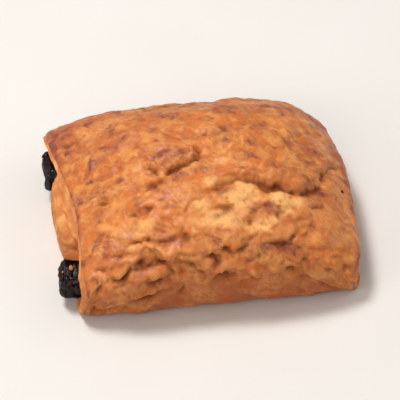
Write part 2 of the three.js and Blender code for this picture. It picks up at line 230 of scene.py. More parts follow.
@dataclass(frozen=True)
class RollForm:
    """Base form of the roll, without its relief, in millimetres."""

    length: float = 126.0
    width: float = 95.5
    height: float = 46.8
    end_narrowing: float = 2.0
    end_drop_power: float = 2.8
    middle_squareness: float = 2.4
    end_squareness: float = 3.2
    underside_squareness: float = 4.6
    belly_share: float = 0.33
    foot_trim: float = 0.9
    crest_crowding: float = 0.3
    samples: int = 480
    shown_end: EndForm = EndForm(
        height=25.6, front=9.2, middle=10.0, back=1.8, middle_at=-0.23, foot=7.0, corner=1.2,
        ledge=4.0, core_front=2.2, core_back=0.6)
    far_end: EndForm = EndForm(
        height=19.5, front=2.5, middle=1.6, back=7.5, middle_at=0.1, foot=2.4, corner=3.5,
        ledge=0.4, core_front=1.2, core_back=1.0)

    def end(self, side: Side) -> EndForm:
        """Return the form of one end."""
        return self.shown_end if side is Side.SHOWN else self.far_end

    def outline(self, u: float, count: int) -> tuple[Array, Array, Array]:
        """Return the outline of one section, from the seam round the back, over the crest.

        Args:
            u: Place along the roll, -1 at the shown end to 1 at the far end.
            count: Number of points; they lie closer together near the crest.

        Returns:
            The points' y, their z and their girth coordinate s, in millimetres.
        """
        towards_end = abs(u)
        end_height = self.end(Side.SHOWN if u < 0 else Side.FAR).height
        height = end_height + (self.height - end_height) * (1 - towards_end ** self.end_drop_power)
        half_width = self.width / 2 - self.end_narrowing * towards_end ** 4
        belly = min(self.belly_share * self.height, 0.5 * height)
        squareness = mix(self.middle_squareness, self.end_squareness, towards_end ** 3)

        angle = -math.pi / 2 + 2 * math.pi * np.arange(self.samples + 1) / self.samples
        across, up = np.cos(angle), np.sin(angle)
        power = np.where(up >= 0, squareness, self.underside_squareness)
        reach = np.where(up >= 0, height - belly, belly + self.foot_trim)
        y = half_width * signed_power(across, 2 / power)
        z = np.maximum(0.0, belly + reach * signed_power(up, 2 / power))

        steps = np.hypot(np.diff(y), np.diff(z))
        lengths = np.concatenate([[0.0], np.cumsum(steps)])
        turn = np.arange(count) / count
        crowded = turn + self.crest_crowding * np.sin(2 * math.pi * turn) / (2 * math.pi)
        target = lengths[-1] * crowded
        girth = target - lengths[-1] / 2
        return np.interp(target, lengths, y), np.interp(target, lengths, z), girth

    def lip_setback(self, side: Side, y: Array, z: Array) -> Array:
        """Return how far the lip stands back from the end of the roll at (y, z).

        Args:
            side: Which end.
            y: Place of each point across the roll.
            z: Height of each point.

        Returns:
            The setback at each point.
        """
        end = self.end(side)
        place = y / (self.width / 2)
        along = (
            end.middle
            + (end.front - end.middle) * ease(end.middle_at, -0.9, place)
            + (end.back - end.middle) * ease(end.middle_at, 1.0, place)
        )
        corner = end.corner * ease(0.72, 1.02, np.abs(place))
        return mix(end.foot, along, ease(0.05, 0.7, z / end.height)) + corner

    def ledge_reach(self, side: Side, y: Array, z: Array) -> Array:
        """Return how far the second layer of dough stands out beyond the lip at (y, z).

        Args:
            side: Which end.
            y: Place of each point across the roll.
            z: Height of each point.

        Returns:
            The reach at each point.
        """
        share = 0.25 + 0.2 * ease(25, -30, y) + 0.58 * bell((y + 4) / 16)
        above_bar = 1 - 0.8 * ease(-17, -22, y) * ease(-40, -32, y)
        return self.end(side).ledge * share * above_bar * ease(3, 13, z)

    def skin(self, length_steps: int, girth_steps: int) -> tuple[Array, Array]:
        """Return the grid of skin points and the girth coordinate of each.

        Args:
            length_steps: Number of steps along the roll.
            girth_steps: Number of points round each section.

        Returns:
            The points, (length_steps + 1, girth_steps, 3), and s, without the last axis.
        """
        points = np.zeros((length_steps + 1, girth_steps, 3))
        girth = np.zeros(points.shape[:2])
        for i, u in enumerate(np.linspace(-1.0, 1.0, length_steps + 1)):
            y, z, girth[i] = self.outline(float(u), girth_steps)
            left = -self.length / 2 + self.lip_setback(Side.SHOWN, y, z)
            right = self.length / 2 - self.lip_setback(Side.FAR, y, z)
            points[i] = np.stack([mix(left, right, (u + 1) / 2), y, z], axis=-1)
        return points, girth


# ---- Relief of the crust -----------------------------------------


# The section of a fold, in widths of the fold: how far it shows, how soon it is full from its
# ends, the power of its groove's sides, and how far its roll lies beyond the wall and spreads.
FOLD_REACH = 4.5
FOLD_FADE = 2.4
GROOVE_POWER = 1.5
ROLL_OFFSET = 0.8
ROLL_SPREAD = 0.8


@dataclass(frozen=True)
class Fold:
    """A groove along a curve in (x, s), with a raised roll on one side, in millimetres.

    `wall` and `slope` are the widths of the groove's two sides as shares of its width: the wall
    lies under the roll and the slope on the other side.
    """

    start: tuple[float, float]
    bend: tuple[float, float]
    end: tuple[float, float]
    depth: float
    width: float
    roll: float
    wall: float = 0.5
    slope: float = 0.95

    def raise_skin(self, x: Array, s: Array, height: Array, steps: int = 14) -> None:
        """Add this fold to the height of the skin.

        Args:
            x: Place of each point along the roll.
            s: Girth coordinate of each point.
            height: Height of each point, changed in place.
            steps: Number of straight pieces that stand for the curve.
        """
        margin = FOLD_REACH * self.width
        knots = np.array([self.start, self.bend, self.end], float)
        low, high = knots.min(axis=0) - margin, knots.max(axis=0) + margin
        near = (x > low[0]) & (x < high[0]) & (s > low[1]) & (s < high[1])
        if not near.any():
            return
        px, ps = x[near], s[near]
        t = np.linspace(0.0, 1.0, steps + 1)[:, None]
        curve = (1 - t) ** 2 * knots[0] + 2 * (1 - t) * t * knots[1] + t * t * knots[2]
        best = np.full(px.shape, np.inf)
        side, place = np.ones(px.shape), np.zeros(px.shape)
        for i in range(steps):
            run = curve[i + 1] - curve[i]
            dx, ds = px - curve[i, 0], ps - curve[i, 1]
            share = np.clip((dx * run[0] + ds * run[1]) / (run @ run), 0.0, 1.0)
            distance = np.hypot(dx - share * run[0], ds - share * run[1])
            closer = distance < best
            best = np.where(closer, distance, best)
            side = np.where(closer, np.sign(run[0] * ds - run[1] * dx), side)
            place = np.where(closer, (i + share) / steps, place)
        reach = best / self.width
        fade = np.minimum(1.0, FOLD_FADE * np.sqrt(place * (1 - place)))
        crease = np.exp(-(reach / np.where(side > 0, self.wall, self.slope)) ** GROOVE_POWER)
        beyond = side * reach - ROLL_OFFSET - self.wall
        roll = self.roll * np.exp(-(beyond ** 2) / ROLL_SPREAD)
        height[near] += fade * (roll - self.depth * crease)


@dataclass(frozen=True)
class Bump:
    """A rounded bump of the crust, or a hollow where its height is negative, in millimetres."""

    at: tuple[float, float]
    radii: tuple[float, float]
    height: float

    def raised(self, x: Array, s: Array) -> Array:
        """Return the height that this bump adds."""
        return self.height * bell(oval(x, s, self.at, self.radii))


def bumps(*rows: tuple[float, float, float, float, float]) -> tuple[Bump, ...]:
    """Return bumps from rows of x, s, the radius along each of them, and the height, in mm."""
    return tuple(Bump((x, s), (along, around), height) for x, s, along, around, height in rows)


MAIN_FOLDS = (
    # The crescent-shaped pocket left of the crest, under its hump, and its left arm.
    Fold((-2.6, 1.6), (-8.6, 7.8), (-17.4, 9.0), 2.7, 1.9, 0.6, 1.0, 0.5),
    Fold((-1.2, -4.2), (-0.6, 0.6), (-4.0, 4.6), 1.6, 1.4, 0.7, 0.9, 0.8),
    Fold((-18.4, 10.8), (-22.5, 5), (-25.5, -5.5), 1.1, 1.7, 0.6, 1.1, 0.7),
    Fold((-31.5, 1.5), (-33.5, -0.5), (-36, -5), 0.8, 1.5, 0.6),
    # The lobe left of the middle that overhangs a hollow.
    Fold((-22.2, 20.5), (-26, 31), (-33.5, 21.5), 1.7, 2.0, 1.1, 1.2, 0.6),
    Fold((-16.5, 12.5), (-21.5, 18), (-26.5, 11.8), 1.1, 1.5, 0.8, 1.2, 0.6),
    # The long crease right of the middle, with the fold that overhangs it.
    Fold((22.5, 20.5), (14, 11.5), (0.5, 22.5), 1.6, 2.1, 0.6, 1.2, 0.6),
    Fold((36, 20.5), (27, 22.5), (19, 19), 1.7, 2.1, 0.6, 1.3, 0.5),
    Fold((50.5, 4), (47, 24), (33.5, 20.5), 1.8, 2.2, 0.7, 1.2, 0.6),
    Fold((59, -6), (53, -1), (49, 8), 1.0, 1.6, 0.7),
    Fold((38.8, -4.5), (38.5, -8.5), (34, -12.5), 1.1, 1.5, 0.6),
    # Wrinkles of the front side: hollows above bright ridges, and the shelf over them.
    Fold((-29, 36.5), (-22, 41.8), (-14.5, 39.8), 1.5, 1.7, 1.2, 0.6, 1.3),
    Fold((-5, 54.5), (-15, 48.5), (-26, 46.5), 1.4, 1.7, 1.0, 1.1, 0.7),
    Fold((-43, 38.8), (-37.5, 41.5), (-31.5, 40.3), 1.3, 1.5, 1.1, 0.7, 1.3),
    Fold((-34, 48), (-38.5, 50), (-43.5, 47.3), 1.8, 1.6, 0.8, 1.0, 0.6),
    Fold((-34.5, 47.5), (-28, 50.5), (-19.5, 46.5), 1.1, 1.7, 1.2, 0.7, 1.2),
    Fold((-14, 62), (-28, 58), (-49, 65), 1.4, 1.8, 0.9),
    Fold((35.5, 54), (11.5, 60), (-8.5, 55), 0.8, 1.8, 0.7),
    Fold((53.5, 40), (37.5, 48), (17.5, 43), 0.55, 1.7, 0.5),
    # Folds of the back side and of the far end.
    Fold((-46.5, -46), (-24.5, -38), (-2.5, -48), 1.5, 1.9, 0.7),
    Fold((7.5, -40), (27.5, -50), (49.5, -38), 1.7, 1.9, 0.8),
    Fold((-36.5, -60), (1.5, -54), (35.5, -62), 1.3, 1.9, 0.9),
)

MAIN_BUMPS = bumps(
    (-10.5, -0.5, 5.5, 3.8, 0.6), (-28, 1, 4.5, 5.5, 0.7), (-28.5, 21, 5, 3.6, 1),
    (25, 11, 16, 5, 1.2), (15, 28, 19, 6.5, -0.9), (-18.5, 43.5, 11, 2.6, 1),
    (48.5, -8, 6, 5, 0.9), (-42.5, -14, 9, 8, 0.8), (9.5, -26, 12, 9, 0.9), (45.5, -34, 9, 8, 0.8),
    (-5, -41, 26, 10, -1.4),
)

# Smaller creases and blisters round the main folds.
CLOSE_FOLDS = (
    Fold((-13.5, 14), (-11, 14.5), (-6.5, 11.5), 0.9, 1.3, 0.5),
    Fold((-24, -1), (-21, -1.5), (-17, 1.5), 0.7, 1.3, 0.5),
    Fold((-45.5, 8.8), (-43.5, 12), (-39.5, 13), 1.0, 1.4, 0.9, 0.8, 1.0),
    Fold((-29, 9), (-33, 12), (-37.5, 12.5), 0.7, 1.3, 0.6),
    Fold((32.8, 11), (32.5, 15), (31.5, 19.5), 0.7, 1.5, 0.4, 0.8, 0.8),
    Fold((10.5, 28), (5.5, 28.5), (-0.5, 29), 0.4, 1.3, 0.4),
    Fold((24.5, 28), (18.5, 31), (13.5, 34.5), 0.35, 1.3, 0.6),
    Fold((33.5, 26), (29.5, 28.5), (26.5, 33.5), 0.4, 1.3, 0.6),
    Fold((48, 22), (45.5, 25.5), (40, 27), 0.9, 1.3, 0.5),
    Fold((-2.5, 23), (-7.5, 24.5), (-12.5, 28), 0.7, 1.3, 0.5),
    Fold((-15.5, 36), (-20.5, 36.8), (-25.5, 29.5), 0.9, 1.4, 0.9, 1.2, 0.7),
    Fold((-8.5, 40), (-11.5, 38.5), (-13.5, 36), 0.9, 1.2, 0.6),
    Fold((-42, 50.6), (-38, 52.4), (-33, 51), 1.1, 1.2, 1.0, 0.8, 1.0),
    Fold((-22, 54.5), (-25, 57.5), (-29, 54.5), 1.5, 1.4, 0.9, 1.0, 0.6),
    Fold((-16.5, 55.5), (-18.5, 52), (-20.2, 48.5), 1.3, 1.3, 0.9, 0.8, 0.8),
    Fold((-16.5, 52.5), (-13, 56.5), (-6, 54.5), 1.3, 1.5, 1.1, 0.7, 1.2),
    Fold((-5.5, 45.5), (-1.8, 48.5), (1, 53), 1.4, 1.4, 1.2, 0.8, 1.0),
    Fold((3, 44), (6, 48), (7, 52), 1.0, 1.3, 0.8, 0.8, 1.0),
    Fold((-25.5, 36.5), (-30, 38), (-34.5, 36), 0.9, 1.3, 0.7),
    Fold((-51.5, 56), (-49, 62), (-46.5, 68), 1.1, 1.4, 0.7),
    Fold((-24.0, 63.5), (-33.5, 62), (-40.5, 65), 1.1, 1.5, 0.9),
    Fold((14.5, 44), (10.5, 48.5), (5.5, 46), 0.9, 1.3, 0.6),
    Fold((34, 41), (27, 44), (19, 41.5), 0.9, 1.4, 0.7),
    Fold((3.5, 41.8), (0.5, 42), (-3.5, 38.5), 0.9, 1.3, 0.7),
)

CLOSE_BUMPS = bumps(
    (-20.6, 12.2, 3.2, 1.7, 1), (-17.4, 8.2, 0.9, 2.4, 0.8), (-3.8, -0.2, 1.5, 2.8, 0.9),
    (-11.7, 11.6, 2.4, 1.6, 0.6), (-28.6, 12.2, 1.6, 1.3, -0.8), (-32.2, 8.2, 2, 1.2, -0.6),
    (-37.4, -0.5, 2, 1.3, -0.6), (25.2, 10.9, 1.5, 1.1, -1), (28.4, 11.3, 1.5, 1.1, -0.9),
    (14.5, 35.1, 1.5, 1.1, -1), (20.4, 36.8, 2.2, 0.9, -0.8), (10.5, 46, 1.8, 1.2, -0.7),
    (-12.3, 35.1, 1.1, 1.1, -0.9), (-42, 50, 3.4, 1, 0.9), (-30.5, 45.2, 2.8, 2, -1.1),
    (-26.8, 30, 2.4, 1.8, 0.5), (19.5, 28, 5, 3.4, 0.6), (-46, 3, 7, 8, 0.4),
    (-20, -40, 4, 9, -0.9), (-32, -38, 8, 9, 0.6),
)

# Patches of the crust that baked darker, a few of them painted shadow, and patches where its paler
# layers show.
BROWN_SPOTS = bumps(
    # Round the crescent; the spots at (-19.5, 8) and (-22.5, 15) are painted shadow beside the
    # left arm and under the lobe.
    (-10, 0.2, 4, 2, 1.5), (-15.2, 3.2, 2.5, 2.2, 1), (-18.5, -1.2, 2.3, 1.4, 0.8),
    (-22.2, -5.5, 2.4, 2.2, 0.7), (-14, -4, 9, 8, 0.25), (-32, -20, 22, 13, 0.3),
    (-4, 0.5, 1.6, 2.4, 0.6), (-11.7, 11.5, 2.6, 1.8, 0.9), (-19.5, 8, 2.2, 3, 0.5),
    (-3.9, -10.3, 5, 1.4, 0.8), (0.4, 8.2, 3, 1.8, 0.6), (-22.5, 15, 3.2, 1.8, 0.6),
    # Along the crest.
    (-10.5, -25.9, 6.5, 2.6, 1.1), (-30.4, -16, 2.8, 1.6, 1), (-35.2, -13.4, 2.4, 1.8, 0.9),
    (-26.2, -11.2, 2.4, 1.8, 0.7), (-17.2, -17, 2.4, 1.8, 0.5), (-21.9, -26.5, 2, 1.5, 0.6),
    (-35.1, -25.3, 3, 3, 0.5), (-50.2, -27.5, 3.2, 1.8, 1), (-57, -33, 5, 7, 0.8),
    (-48, -35, 7, 3, 0.4), (-45.5, -16.1, 2.2, 1.2, 0.7), (-40.6, -10.6, 5, 1.6, 0.6),
    (-29.7, -39.3, 6, 3, 0.8), (-15.9, -33.7, 6, 2.5, 0.8), (-4.8, -32.8, 6, 2.5, 0.7),
    (11.6, -30.3, 7, 3, 0.8), (22.8, -28.7, 5, 3, 0.8), (35.9, -33, 8, 3, 0.6),
    (52.7, -32.7, 5, 4, 0.7), (12.1, -24.9, 4, 3, 0.5),
    # Right of the middle; the spot at (27, 17) is partly painted shade above the long crease.
    (2.1, -8.5, 3, 2, 0.4), (11.8, -12.6, 4, 2.8, 0.7), (10.8, -5.2, 3.2, 2.4, 0.8),
    (21.7, -4.6, 2.5, 2.5, 1.1), (23.2, -13.5, 1.6, 2.8, 0.8), (18.8, -15.6, 3, 2, 0.6),
    (17, 4.4, 5, 2.4, 0.6), (44.3, -7.1, 4.2, 2.4, 0.8), (38.8, -5.2, 1.6, 3.6, 0.8),
    (42.9, 2.1, 4.5, 2.4, 0.7), (59.4, -14, 2.8, 16, 0.9), (52.3, 4.5, 2.5, 3, 0.7),
    (27, 17, 9, 2.8, 0.6), (43.5, 15.5, 5, 3, 0.5), (6, 20.5, 6, 2, 0.8), (49.5, 18, 3, 4, 0.6),
    (41, 34.8, 1.5, 1.4, 0.9),
    # The crust that is left between the pale patches, and the front side; the spot at (27, 45.5)
    # is brown and partly painted shadow along the front edge.
    (19.5, 28.5, 5.5, 2.8, 1.2), (7.5, 29.5, 5, 1.4, 0.7), (25, 29.5, 2.4, 3, 0.9),
    (12.5, 33.8, 4, 1.8, 0.8), (7.5, 37, 5, 1.8, 0.6), (1, 40.8, 3, 1.6, 0.8), (32, 36, 5, 4, 0.5),
    (27, 45.5, 8, 3.6, 1.6), (4, 45, 8, 3, 0.2), (-17.5, 39.5, 6, 2, 0.6),
    (-22, 46.5, 4, 2.2, 0.8), (-30.5, 45, 3, 2.2, 0.6), (-26, 51, 19, 7, 0.35),
    (8, 53, 22, 5, 0.1),
    # Left of the middle and at the shown end's rim.
    (-41.9, 6.5, 5, 3, 0.6), (-47.6, 4.5, 2.4, 4, 0.8), (-52.2, 1.5, 1.9, 2.4, 1),
    (-44.6, 27.8, 2.8, 1.9, 1.2), (-47.6, 30.4, 2.2, 2.2, 1), (-44.7, 34.5, 4.5, 4, 0.7),
    (-34.3, 33.7, 1.7, 1.4, 0.8), (-43.5, 17.2, 3.5, 2, 0.6), (-38, 39.8, 5, 1.8, 0.6),
    # The back.
    (10, -48, 42, 9, 0.4), (-30, -56, 22, 8, 0.4),
)

PALE_SPOTS = bumps(
    (12.5, 25, 6, 3.4, 1.3), (16, 19.2, 4.5, 2.2, 1.1), (2, 33.4, 6.5, 3.4, 1.4),
    (19, 37.4, 5.5, 2.4, 1.2), (24, 34, 2.6, 1.9, 0.8), (28, 25, 4.2, 3, 1.2),
    (35, 24.5, 3.6, 2.2, 1), (29.6, 29.8, 2.4, 2.6, 0.9), (-3.3, 26, 2.8, 2.6, 0.9),
    (0.8, 16.4, 3.4, 2, 1), (-26.8, 29.8, 2.4, 2, 1.3), (-43.3, 24, 1.8, 1, 0.7),
    (-33, 38.2, 2.2, 1.4, 0.7), (-24, 16.6, 1.4, 1.1, 0.6), (-8.2, 37.7, 2, 0.9, 0.6),
    (-22, 43, 7, 1.5, 0.4), (-42, 50, 3, 0.9, 0.6), (-9, 31, 4, 3, 0.3), (-20, -38, 12, 5, 0.4),
    (30, -54, 12, 6, 0.4),
)


@dataclass(frozen=True)
class NoiseLayer:
    """A layer of noise relief: its height and the size of its features, in millimetres."""

    height: float
    along_x: float
    along_girth: float
    seed: int

    def raised(self, x: Array, s: Array) -> Array:
        """Return the height that this layer adds."""
        return self.height * noise(x / self.along_x, s / self.along_girth, self.seed)


@dataclass(frozen=True)
class SkinState:
    """What the relief gives at each point of the skin, in millimetres or 0 to 1.

    `general` is the relief that the crust shares with its plain solid and `skin` the finer one on
    it. `pale` tells where the outer layers are gone, `brown` where a brown spot lies, `split`
    how freshly split the skin is, and `tone` how much browner than the rest its layer is.
    """

    general: Array
    skin: Array
    pale: Array
    brown: Array
    split: Array
    tone: Array


LEAST_SLOPE = 1e-3


@dataclass
class CrustRelief:
    """Height and bake marks of the crust as functions of x and s, in millimetres."""

    layers: tuple[NoiseLayer, ...] = (
        NoiseLayer(1.2, 29, 24, 1),
        NoiseLayer(0.6, 11, 7.5, 2),
        NoiseLayer(0.45, 7, 7, 3),
    )
    flake_thickness: float = 0.45
    flake_spacing: float = 0.2
    crumple_count: int = 330
    crumple_seed: int = 7
    crumple_steps: int = 5
    crumple_depth: float = 1.5
    crumple_rise: float = 1.1
    puff_height: float = 0.88
    hollow_depth: float = 1.0
    seam_depth: float = 1.7

    def warped(self, x: Array, s: Array) -> tuple[Array, Array]:
        """Return the coordinates shaken a little, so that no crease runs evenly.

        Args:
            x: Place of each point along the roll.
            s: Girth coordinate of each point.

        Returns:
            The shaken x and s of each point.
        """
        wide_x, wide_s = 1.5 * noise(x / 8, s / 6.5, 11), 1.5 * noise(x / 8, s / 6.5, 13)
        near_x, near_s = 0.7 * noise(x / 2.9, s / 2.6, 12), 0.7 * noise(x / 2.9, s / 2.6, 14)
        return x + wide_x + near_x, s + wide_s + near_s

    def lean(self, x: Array, s: Array) -> tuple[Array, Array, Array]:
        """Return how far the skin's wrinkles follow each of their three directions.

        They run down to the right on the left half, down to the left on the right half, and
        along the roll on its sides.

        Args:
            x: Place of each point along the roll.
            s: Girth coordinate of each point.

        Returns:
            The share of each direction at each point; together they are 1.
        """
        side = np.maximum(ease(38, 52, s), ease(-34, -50, s))
        left = ease(6, -14, x) * (1 - side)
        right = ease(0, 24, x) * (1 - side)
        return left, right, 1 - left - right

    def liveliness(self, x: Array, s: Array) -> Array:
        """Return how strongly the skin is wrinkled, about 0.5 on most of the crust.

        Args:
            x: Place of each point along the roll.
            s: Girth coordinate of each point.

        Returns:
            The strength at each point.
        """
        front_left = 0.4 * bell(oval(x, s, (-30, 50), (28, 15)))
        middle_left = 0.2 * bell(oval(x, s, (-24, 19), (17, 13)))
        torn = 0.1 * bell(oval(x, s, (20, 35), (22, 9)))
        smooth = 0.25 * bell(oval(x, s, (32, 13), (18, 6)))
        sides = 0.6 * ease(34, 48, s) + 0.35 * ease(-50, -66, s)
        calm = 0.34 * bell((s + 36) / 17)
        wander = 0.14 * noise(x / 12, s / 10, 34)
        total = 0.45 + front_left + middle_left + torn + sides + wander - calm - smooth
        return np.clip(total, 0.16, 1.3)

    def crumples(self) -> list[Fold]:
        """Return the many short folds of the baked skin, in a fixed order.

        Returns:
            The folds.
        """
        rng = np.random.default_rng(self.crumple_seed)
        folds = []
        for _ in range(self.crumple_count):
            x, s = rng.uniform(-60, 61), rng.uniform(-82, 70)
            left, right, flat = (float(share) for share in self.lean(x, s))
            along_side = -22 + 30 * float(ease(-5, 30, x))
            angle = math.radians(42 * left - 46 * right + along_side * flat + rng.normal(0, 17))
            half = rng.uniform(2.0, 5.6)
            run = np.array([math.cos(angle), math.sin(angle)]) * half
            sag = np.array([-run[1], run[0]]) * rng.normal(0, 0.35)
            ends = [(x - run[0], s - run[1]), (x + run[0], s + run[1])]
            if (ends[0][0] < ends[1][0]) == (rng.random() < 0.85):
                ends.reverse()
            size = rng.uniform(0.5, 1.0)
            strength = size * (0.12 + 1.05 * float(self.liveliness(x, s)))
            folds.append(Fold(ends[0], (x + sag[0], s + sag[1]), ends[1],
                              0.85 * strength, 0.85 * size + 0.55, 0.6 * strength, 0.8, 0.9))
        return folds

    def puffs(self, x: Array, s: Array) -> Array:
        """Return the rounded lobes of the puffed skin, with narrow valleys between them.

        Args:
            x: Place of each point along the roll.
            s: Girth coordinate of each point.

        Returns:
            The height at each point.
        """
        height = np.zeros(x.shape)
        for share, angle, seed in zip(self.lean(x, s), (40, -44, 6), (36, 37, 38)):
            cosine, sine = math.cos(math.radians(angle)), math.sin(math.radians(angle))
            along, across = x * cosine + s * sine, s * cosine - x * sine
            lobes = np.abs(noise(along / 8.5, across / 4.4, seed))
            small = np.abs(noise(along / 3.6, across / 2.2, seed + 0.5))
            height = height + share * (lobes + 0.38 * small)
        return self.puff_height * (height - 0.45)

    def flakes(self, x: Array, s: Array, pale: Array, pitch: tuple[float, float]
               ) -> tuple[Array, Array, Array]:
        """Return the steps where thin outer layers of the dough end.

        Args:
            x: Place of each point along the roll.
            s: Girth coordinate of each point.
            pale: How far the outer layers are gone at each point, 0 to 1.
            pitch: Mean spacing of the grid of points along x and s.

        Returns:
            The height of the layers, how freshly split the skin is, 0 to 1, and how much
            browner than the rest each layer is, -0.5 to 0.5.
        """
        warp_x = 3.2 * fractal(x / 10, s / 8, 21)
        warp_s = 3.2 * fractal(x / 10, s / 8, 22)
        level = fractal((x + warp_x) / 17, (s + warp_s) / 11, 23, 4, 0.55) / self.flake_spacing
        whole = np.floor(level)
        part = level - whole
        slope_x, slope_s = np.gradient(level)
        slope = np.hypot(slope_x / pitch[0], slope_s / pitch[1]) + LEAST_SLOPE
        above = part / slope
        below = (1 - part) / slope
        broken = ease(0.05, 0.4, fractal(x / 15, s / 12, 24, 2))
        open_edge = np.clip(ease(0.15, 0.6, pale) + 0.6 * broken, 0.0, 1.0)
        step = ease(0.0, 0.8, above)
        curl = 0.35 * bell((above - 0.9) / 0.7)
        stepped = whole + step + curl
        height = self.flake_thickness * open_edge * (stepped - level)
        split = open_edge * bell(below / 1.5) * ease(0.0, 0.3, below)
        tone = corner_value(whole, np.zeros_like(whole), 25) - 0.5
        return height, split, tone

    def general(self, x: Array, s: Array) -> Array:
        """Return the relief that the whole crust shares with its plain solid.

        Args:
            x: Place of each point along the roll.
            s: Girth coordinate of each point.

        Returns:
            The height at each point.
        """
        height = sum(layer.raised(x, s) for layer in self.layers)
        near_x, near_s = self.warped(x, s)
        marked = sum(bump.raised(near_x, near_s) for bump in MAIN_BUMPS + CLOSE_BUMPS)
        for fold in MAIN_FOLDS + CLOSE_FOLDS:
            fold.raise_skin(near_x, near_s, marked)
        unevenness = 0.3 * noise(x / 6, s / 6, 15) + 0.3 * noise(x / 2.6, s / 2.4, 16)
        return height + marked * (1 + unevenness)

    def at(self, x: Array, s: Array, pitch: tuple[float, float]) -> SkinState:
        """Return the whole state of the skin.

        Args:
            x: Place of each point along the roll.
            s: Girth coordinate of each point.
            pitch: Mean spacing of the grid of points along x and s.

        Returns:
            The state at each point.
        """
        near_x, near_s = self.warped(x, s)
        islands = ease(-0.62, -0.1, fractal(x / 4.2, s / 3.6, 45, 3))
        pale = islands * sum(spot.raised(near_x, near_s) for spot in PALE_SPOTS)
        brown = sum(spot.raised(near_x, near_s) for spot in BROWN_SPOTS)
        layers, split, tone = self.flakes(x, s, pale, pitch)
        creased = np.zeros(x.shape)
        for fold in self.crumples():
            fold.raise_skin(near_x, near_s, creased, self.crumple_steps)
        creased = np.clip(creased, -self.crumple_depth, self.crumple_rise)
        puffed = self.liveliness(x, s) * (self.puffs(near_x, near_s) + self.fine(x, s))
        # The skin is calmer behind the crest, at the foot and in the pale patches.
        shoulder = 1 - 0.4 * bell((s + 33) / 17)
        foot = 1 - 0.65 * ease(56, 70, np.abs(s))
        torn = 1 - 0.6 * np.clip(pale, 0, 1)
        skin = (puffed + creased + layers) * shoulder * foot * torn
        return SkinState(self.general(x, s), skin, pale, brown, split, tone)

    def fine(self, x: Array, s: Array) -> Array:
        """Return the crinkles and pimples of the skin.

        Args:
            x: Place of each point along the roll.
            s: Girth coordinate of each point.

        Returns:
            The height at each point.
        """
        warp = 1.3 * noise(x / 5, s / 4, 31)
        crinkle = ridges((x + warp) / 4.2, (s - warp) / 2.7, 32)
        finer = ridges((x - warp) / 2.7, (s + warp) / 2.0, 33)
        pimples = 0.06 * noise(x / 2.2, s / 2.0, 35)
        return 0.17 * crinkle + 0.08 * finer + pimples

    def underside_lift(self, x: Array, y: Array) -> Array:
        """Return the height by which the underside is hollowed above the floor.

        Args:
            x: Place of each point along the roll.
            y: Place of each point across the roll.

        Returns:
            The lift at each point.
        """
        hollow = self.hollow_depth * ease(0.16, 0.46, noise(x / 17, y / 13, 5))
        seam_y = 3 + 2.2 * noise(x / 21, np.zeros_like(x), 6)
        seam = self.seam_depth * bell((y - seam_y) / 1.5) * ease(60, 52, np.abs(x))
        return np.maximum(hollow, seam)


# ---- Meshes ------------------------------------------------------


@dataclass
class SkinMesh:
    """Points, faces and point marks of one closed skin while it is put together."""

    points: list[Array] = field(default_factory=list)
    marks: list[Array] = field(default_factory=list)
    faces: list[list[int]] = field(default_factory=list)
    count: int = 0

    def add(self, points: Array, marks: Array) -> Array:
        """Add points with their marks and return their numbers in the same layout.

        Args:
            points: The points, with x, y and z on the last axis.
            marks: The marks of each point on the last axis.

        Returns:
            The number of each point.
        """
        shape = points.shape[:-1]
        total = int(np.prod(shape))
        self.points.append(points.reshape(-1, 3))
        self.marks.append(marks.reshape(-1, marks.shape[-1]))
        numbers = np.arange(self.count, self.count + total).reshape(shape)
        self.count += total
        return numbers

    def join(self, near: Array, far: Array) -> None:
        """Join two closed rings of equal count."""
        quads = np.stack([near, np.roll(near, -1), np.roll(far, -1), far], axis=-1)
        self.faces.extend(quads.tolist())

    def cap(self, columns: Array, outward: int) -> None:
        """Fill a grid of columns; its first and last may be pinched to one point.

        Args:
            columns: Numbers of the points, one column to a row of the array.
            outward: 1 where the cap looks to +X, and -1 where it looks to -X.
        """
        quads = np.stack([columns[:-1, :-1], columns[1:, :-1], columns[1:, 1:], columns[:-1, 1:]],
                         axis=-1).reshape(-1, 4)
        for quad in quads.tolist():
            corners = list(dict.fromkeys(quad))
            if len(corners) > 2:
                self.faces.append(corners[::-1] if outward > 0 else corners)

    def build(self, name: str, mark_names: tuple[str, ...]) -> bpy.types.Object:
        """Make the object.

        Args:
            name: Name of the object and its mesh.
            mark_names: Names of the colour attributes, three marks to each.

        Returns:
            The new object, in metres.
        """
        mesh = bpy.data.meshes.new(name)
        mesh.from_pydata((np.concatenate(self.points) * MM).tolist(), [], self.faces)
        marks = np.concatenate(self.marks)
        for i, mark_name in enumerate(mark_names):
            attribute = mesh.color_attributes.new(mark_name, "FLOAT_COLOR", "POINT")
            rgba = np.ones((len(marks), 4), np.float32)
            rgba[:, :3] = marks[:, 3 * i:3 * i + 3]
            attribute.data.foreach_set("color", rgba.ravel())
        mesh.shade_smooth()
        mesh.validate()
        obj = bpy.data.objects.new(name, mesh)
        bpy.context.scene.collection.objects.link(obj)
        return obj


BAKE_AND_SHADING_MARKS = "bake"
ZONE_MARKS = "zone"


class Mark(IntEnum):
    """Marks of each point of the crust: three of its baking, then three of its zone. The first
    holds browning with some painted shade and a painted highlight, the second splits with a
    painted highlight, the third painted shade in hollows, and the last painted shade on the lower
    sides.
    """

    BROWNING_AND_SHADING = 0
    SPLIT_AND_HIGHLIGHT = 1
    HOLLOW_SHADE = 2
    UNDERSIDE = 3
    INNER_DOUGH = 4
    LOW_SIDE_SHADE = 5


def inward_directions(points: Array) -> Array:
    """Return the inward directions in the section plane along a closed outline of (y, z).

    Args:
        points: The outline's points in their order.

    Returns:
        The unit direction at each point.
    """
    tangent = np.roll(points, -1, axis=0) - np.roll(points, 1, axis=0)
    inward = np.stack([-tangent[:, 1], tangent[:, 0]], axis=-1)
    return inward / np.linalg.norm(inward, axis=-1, keepdims=True)


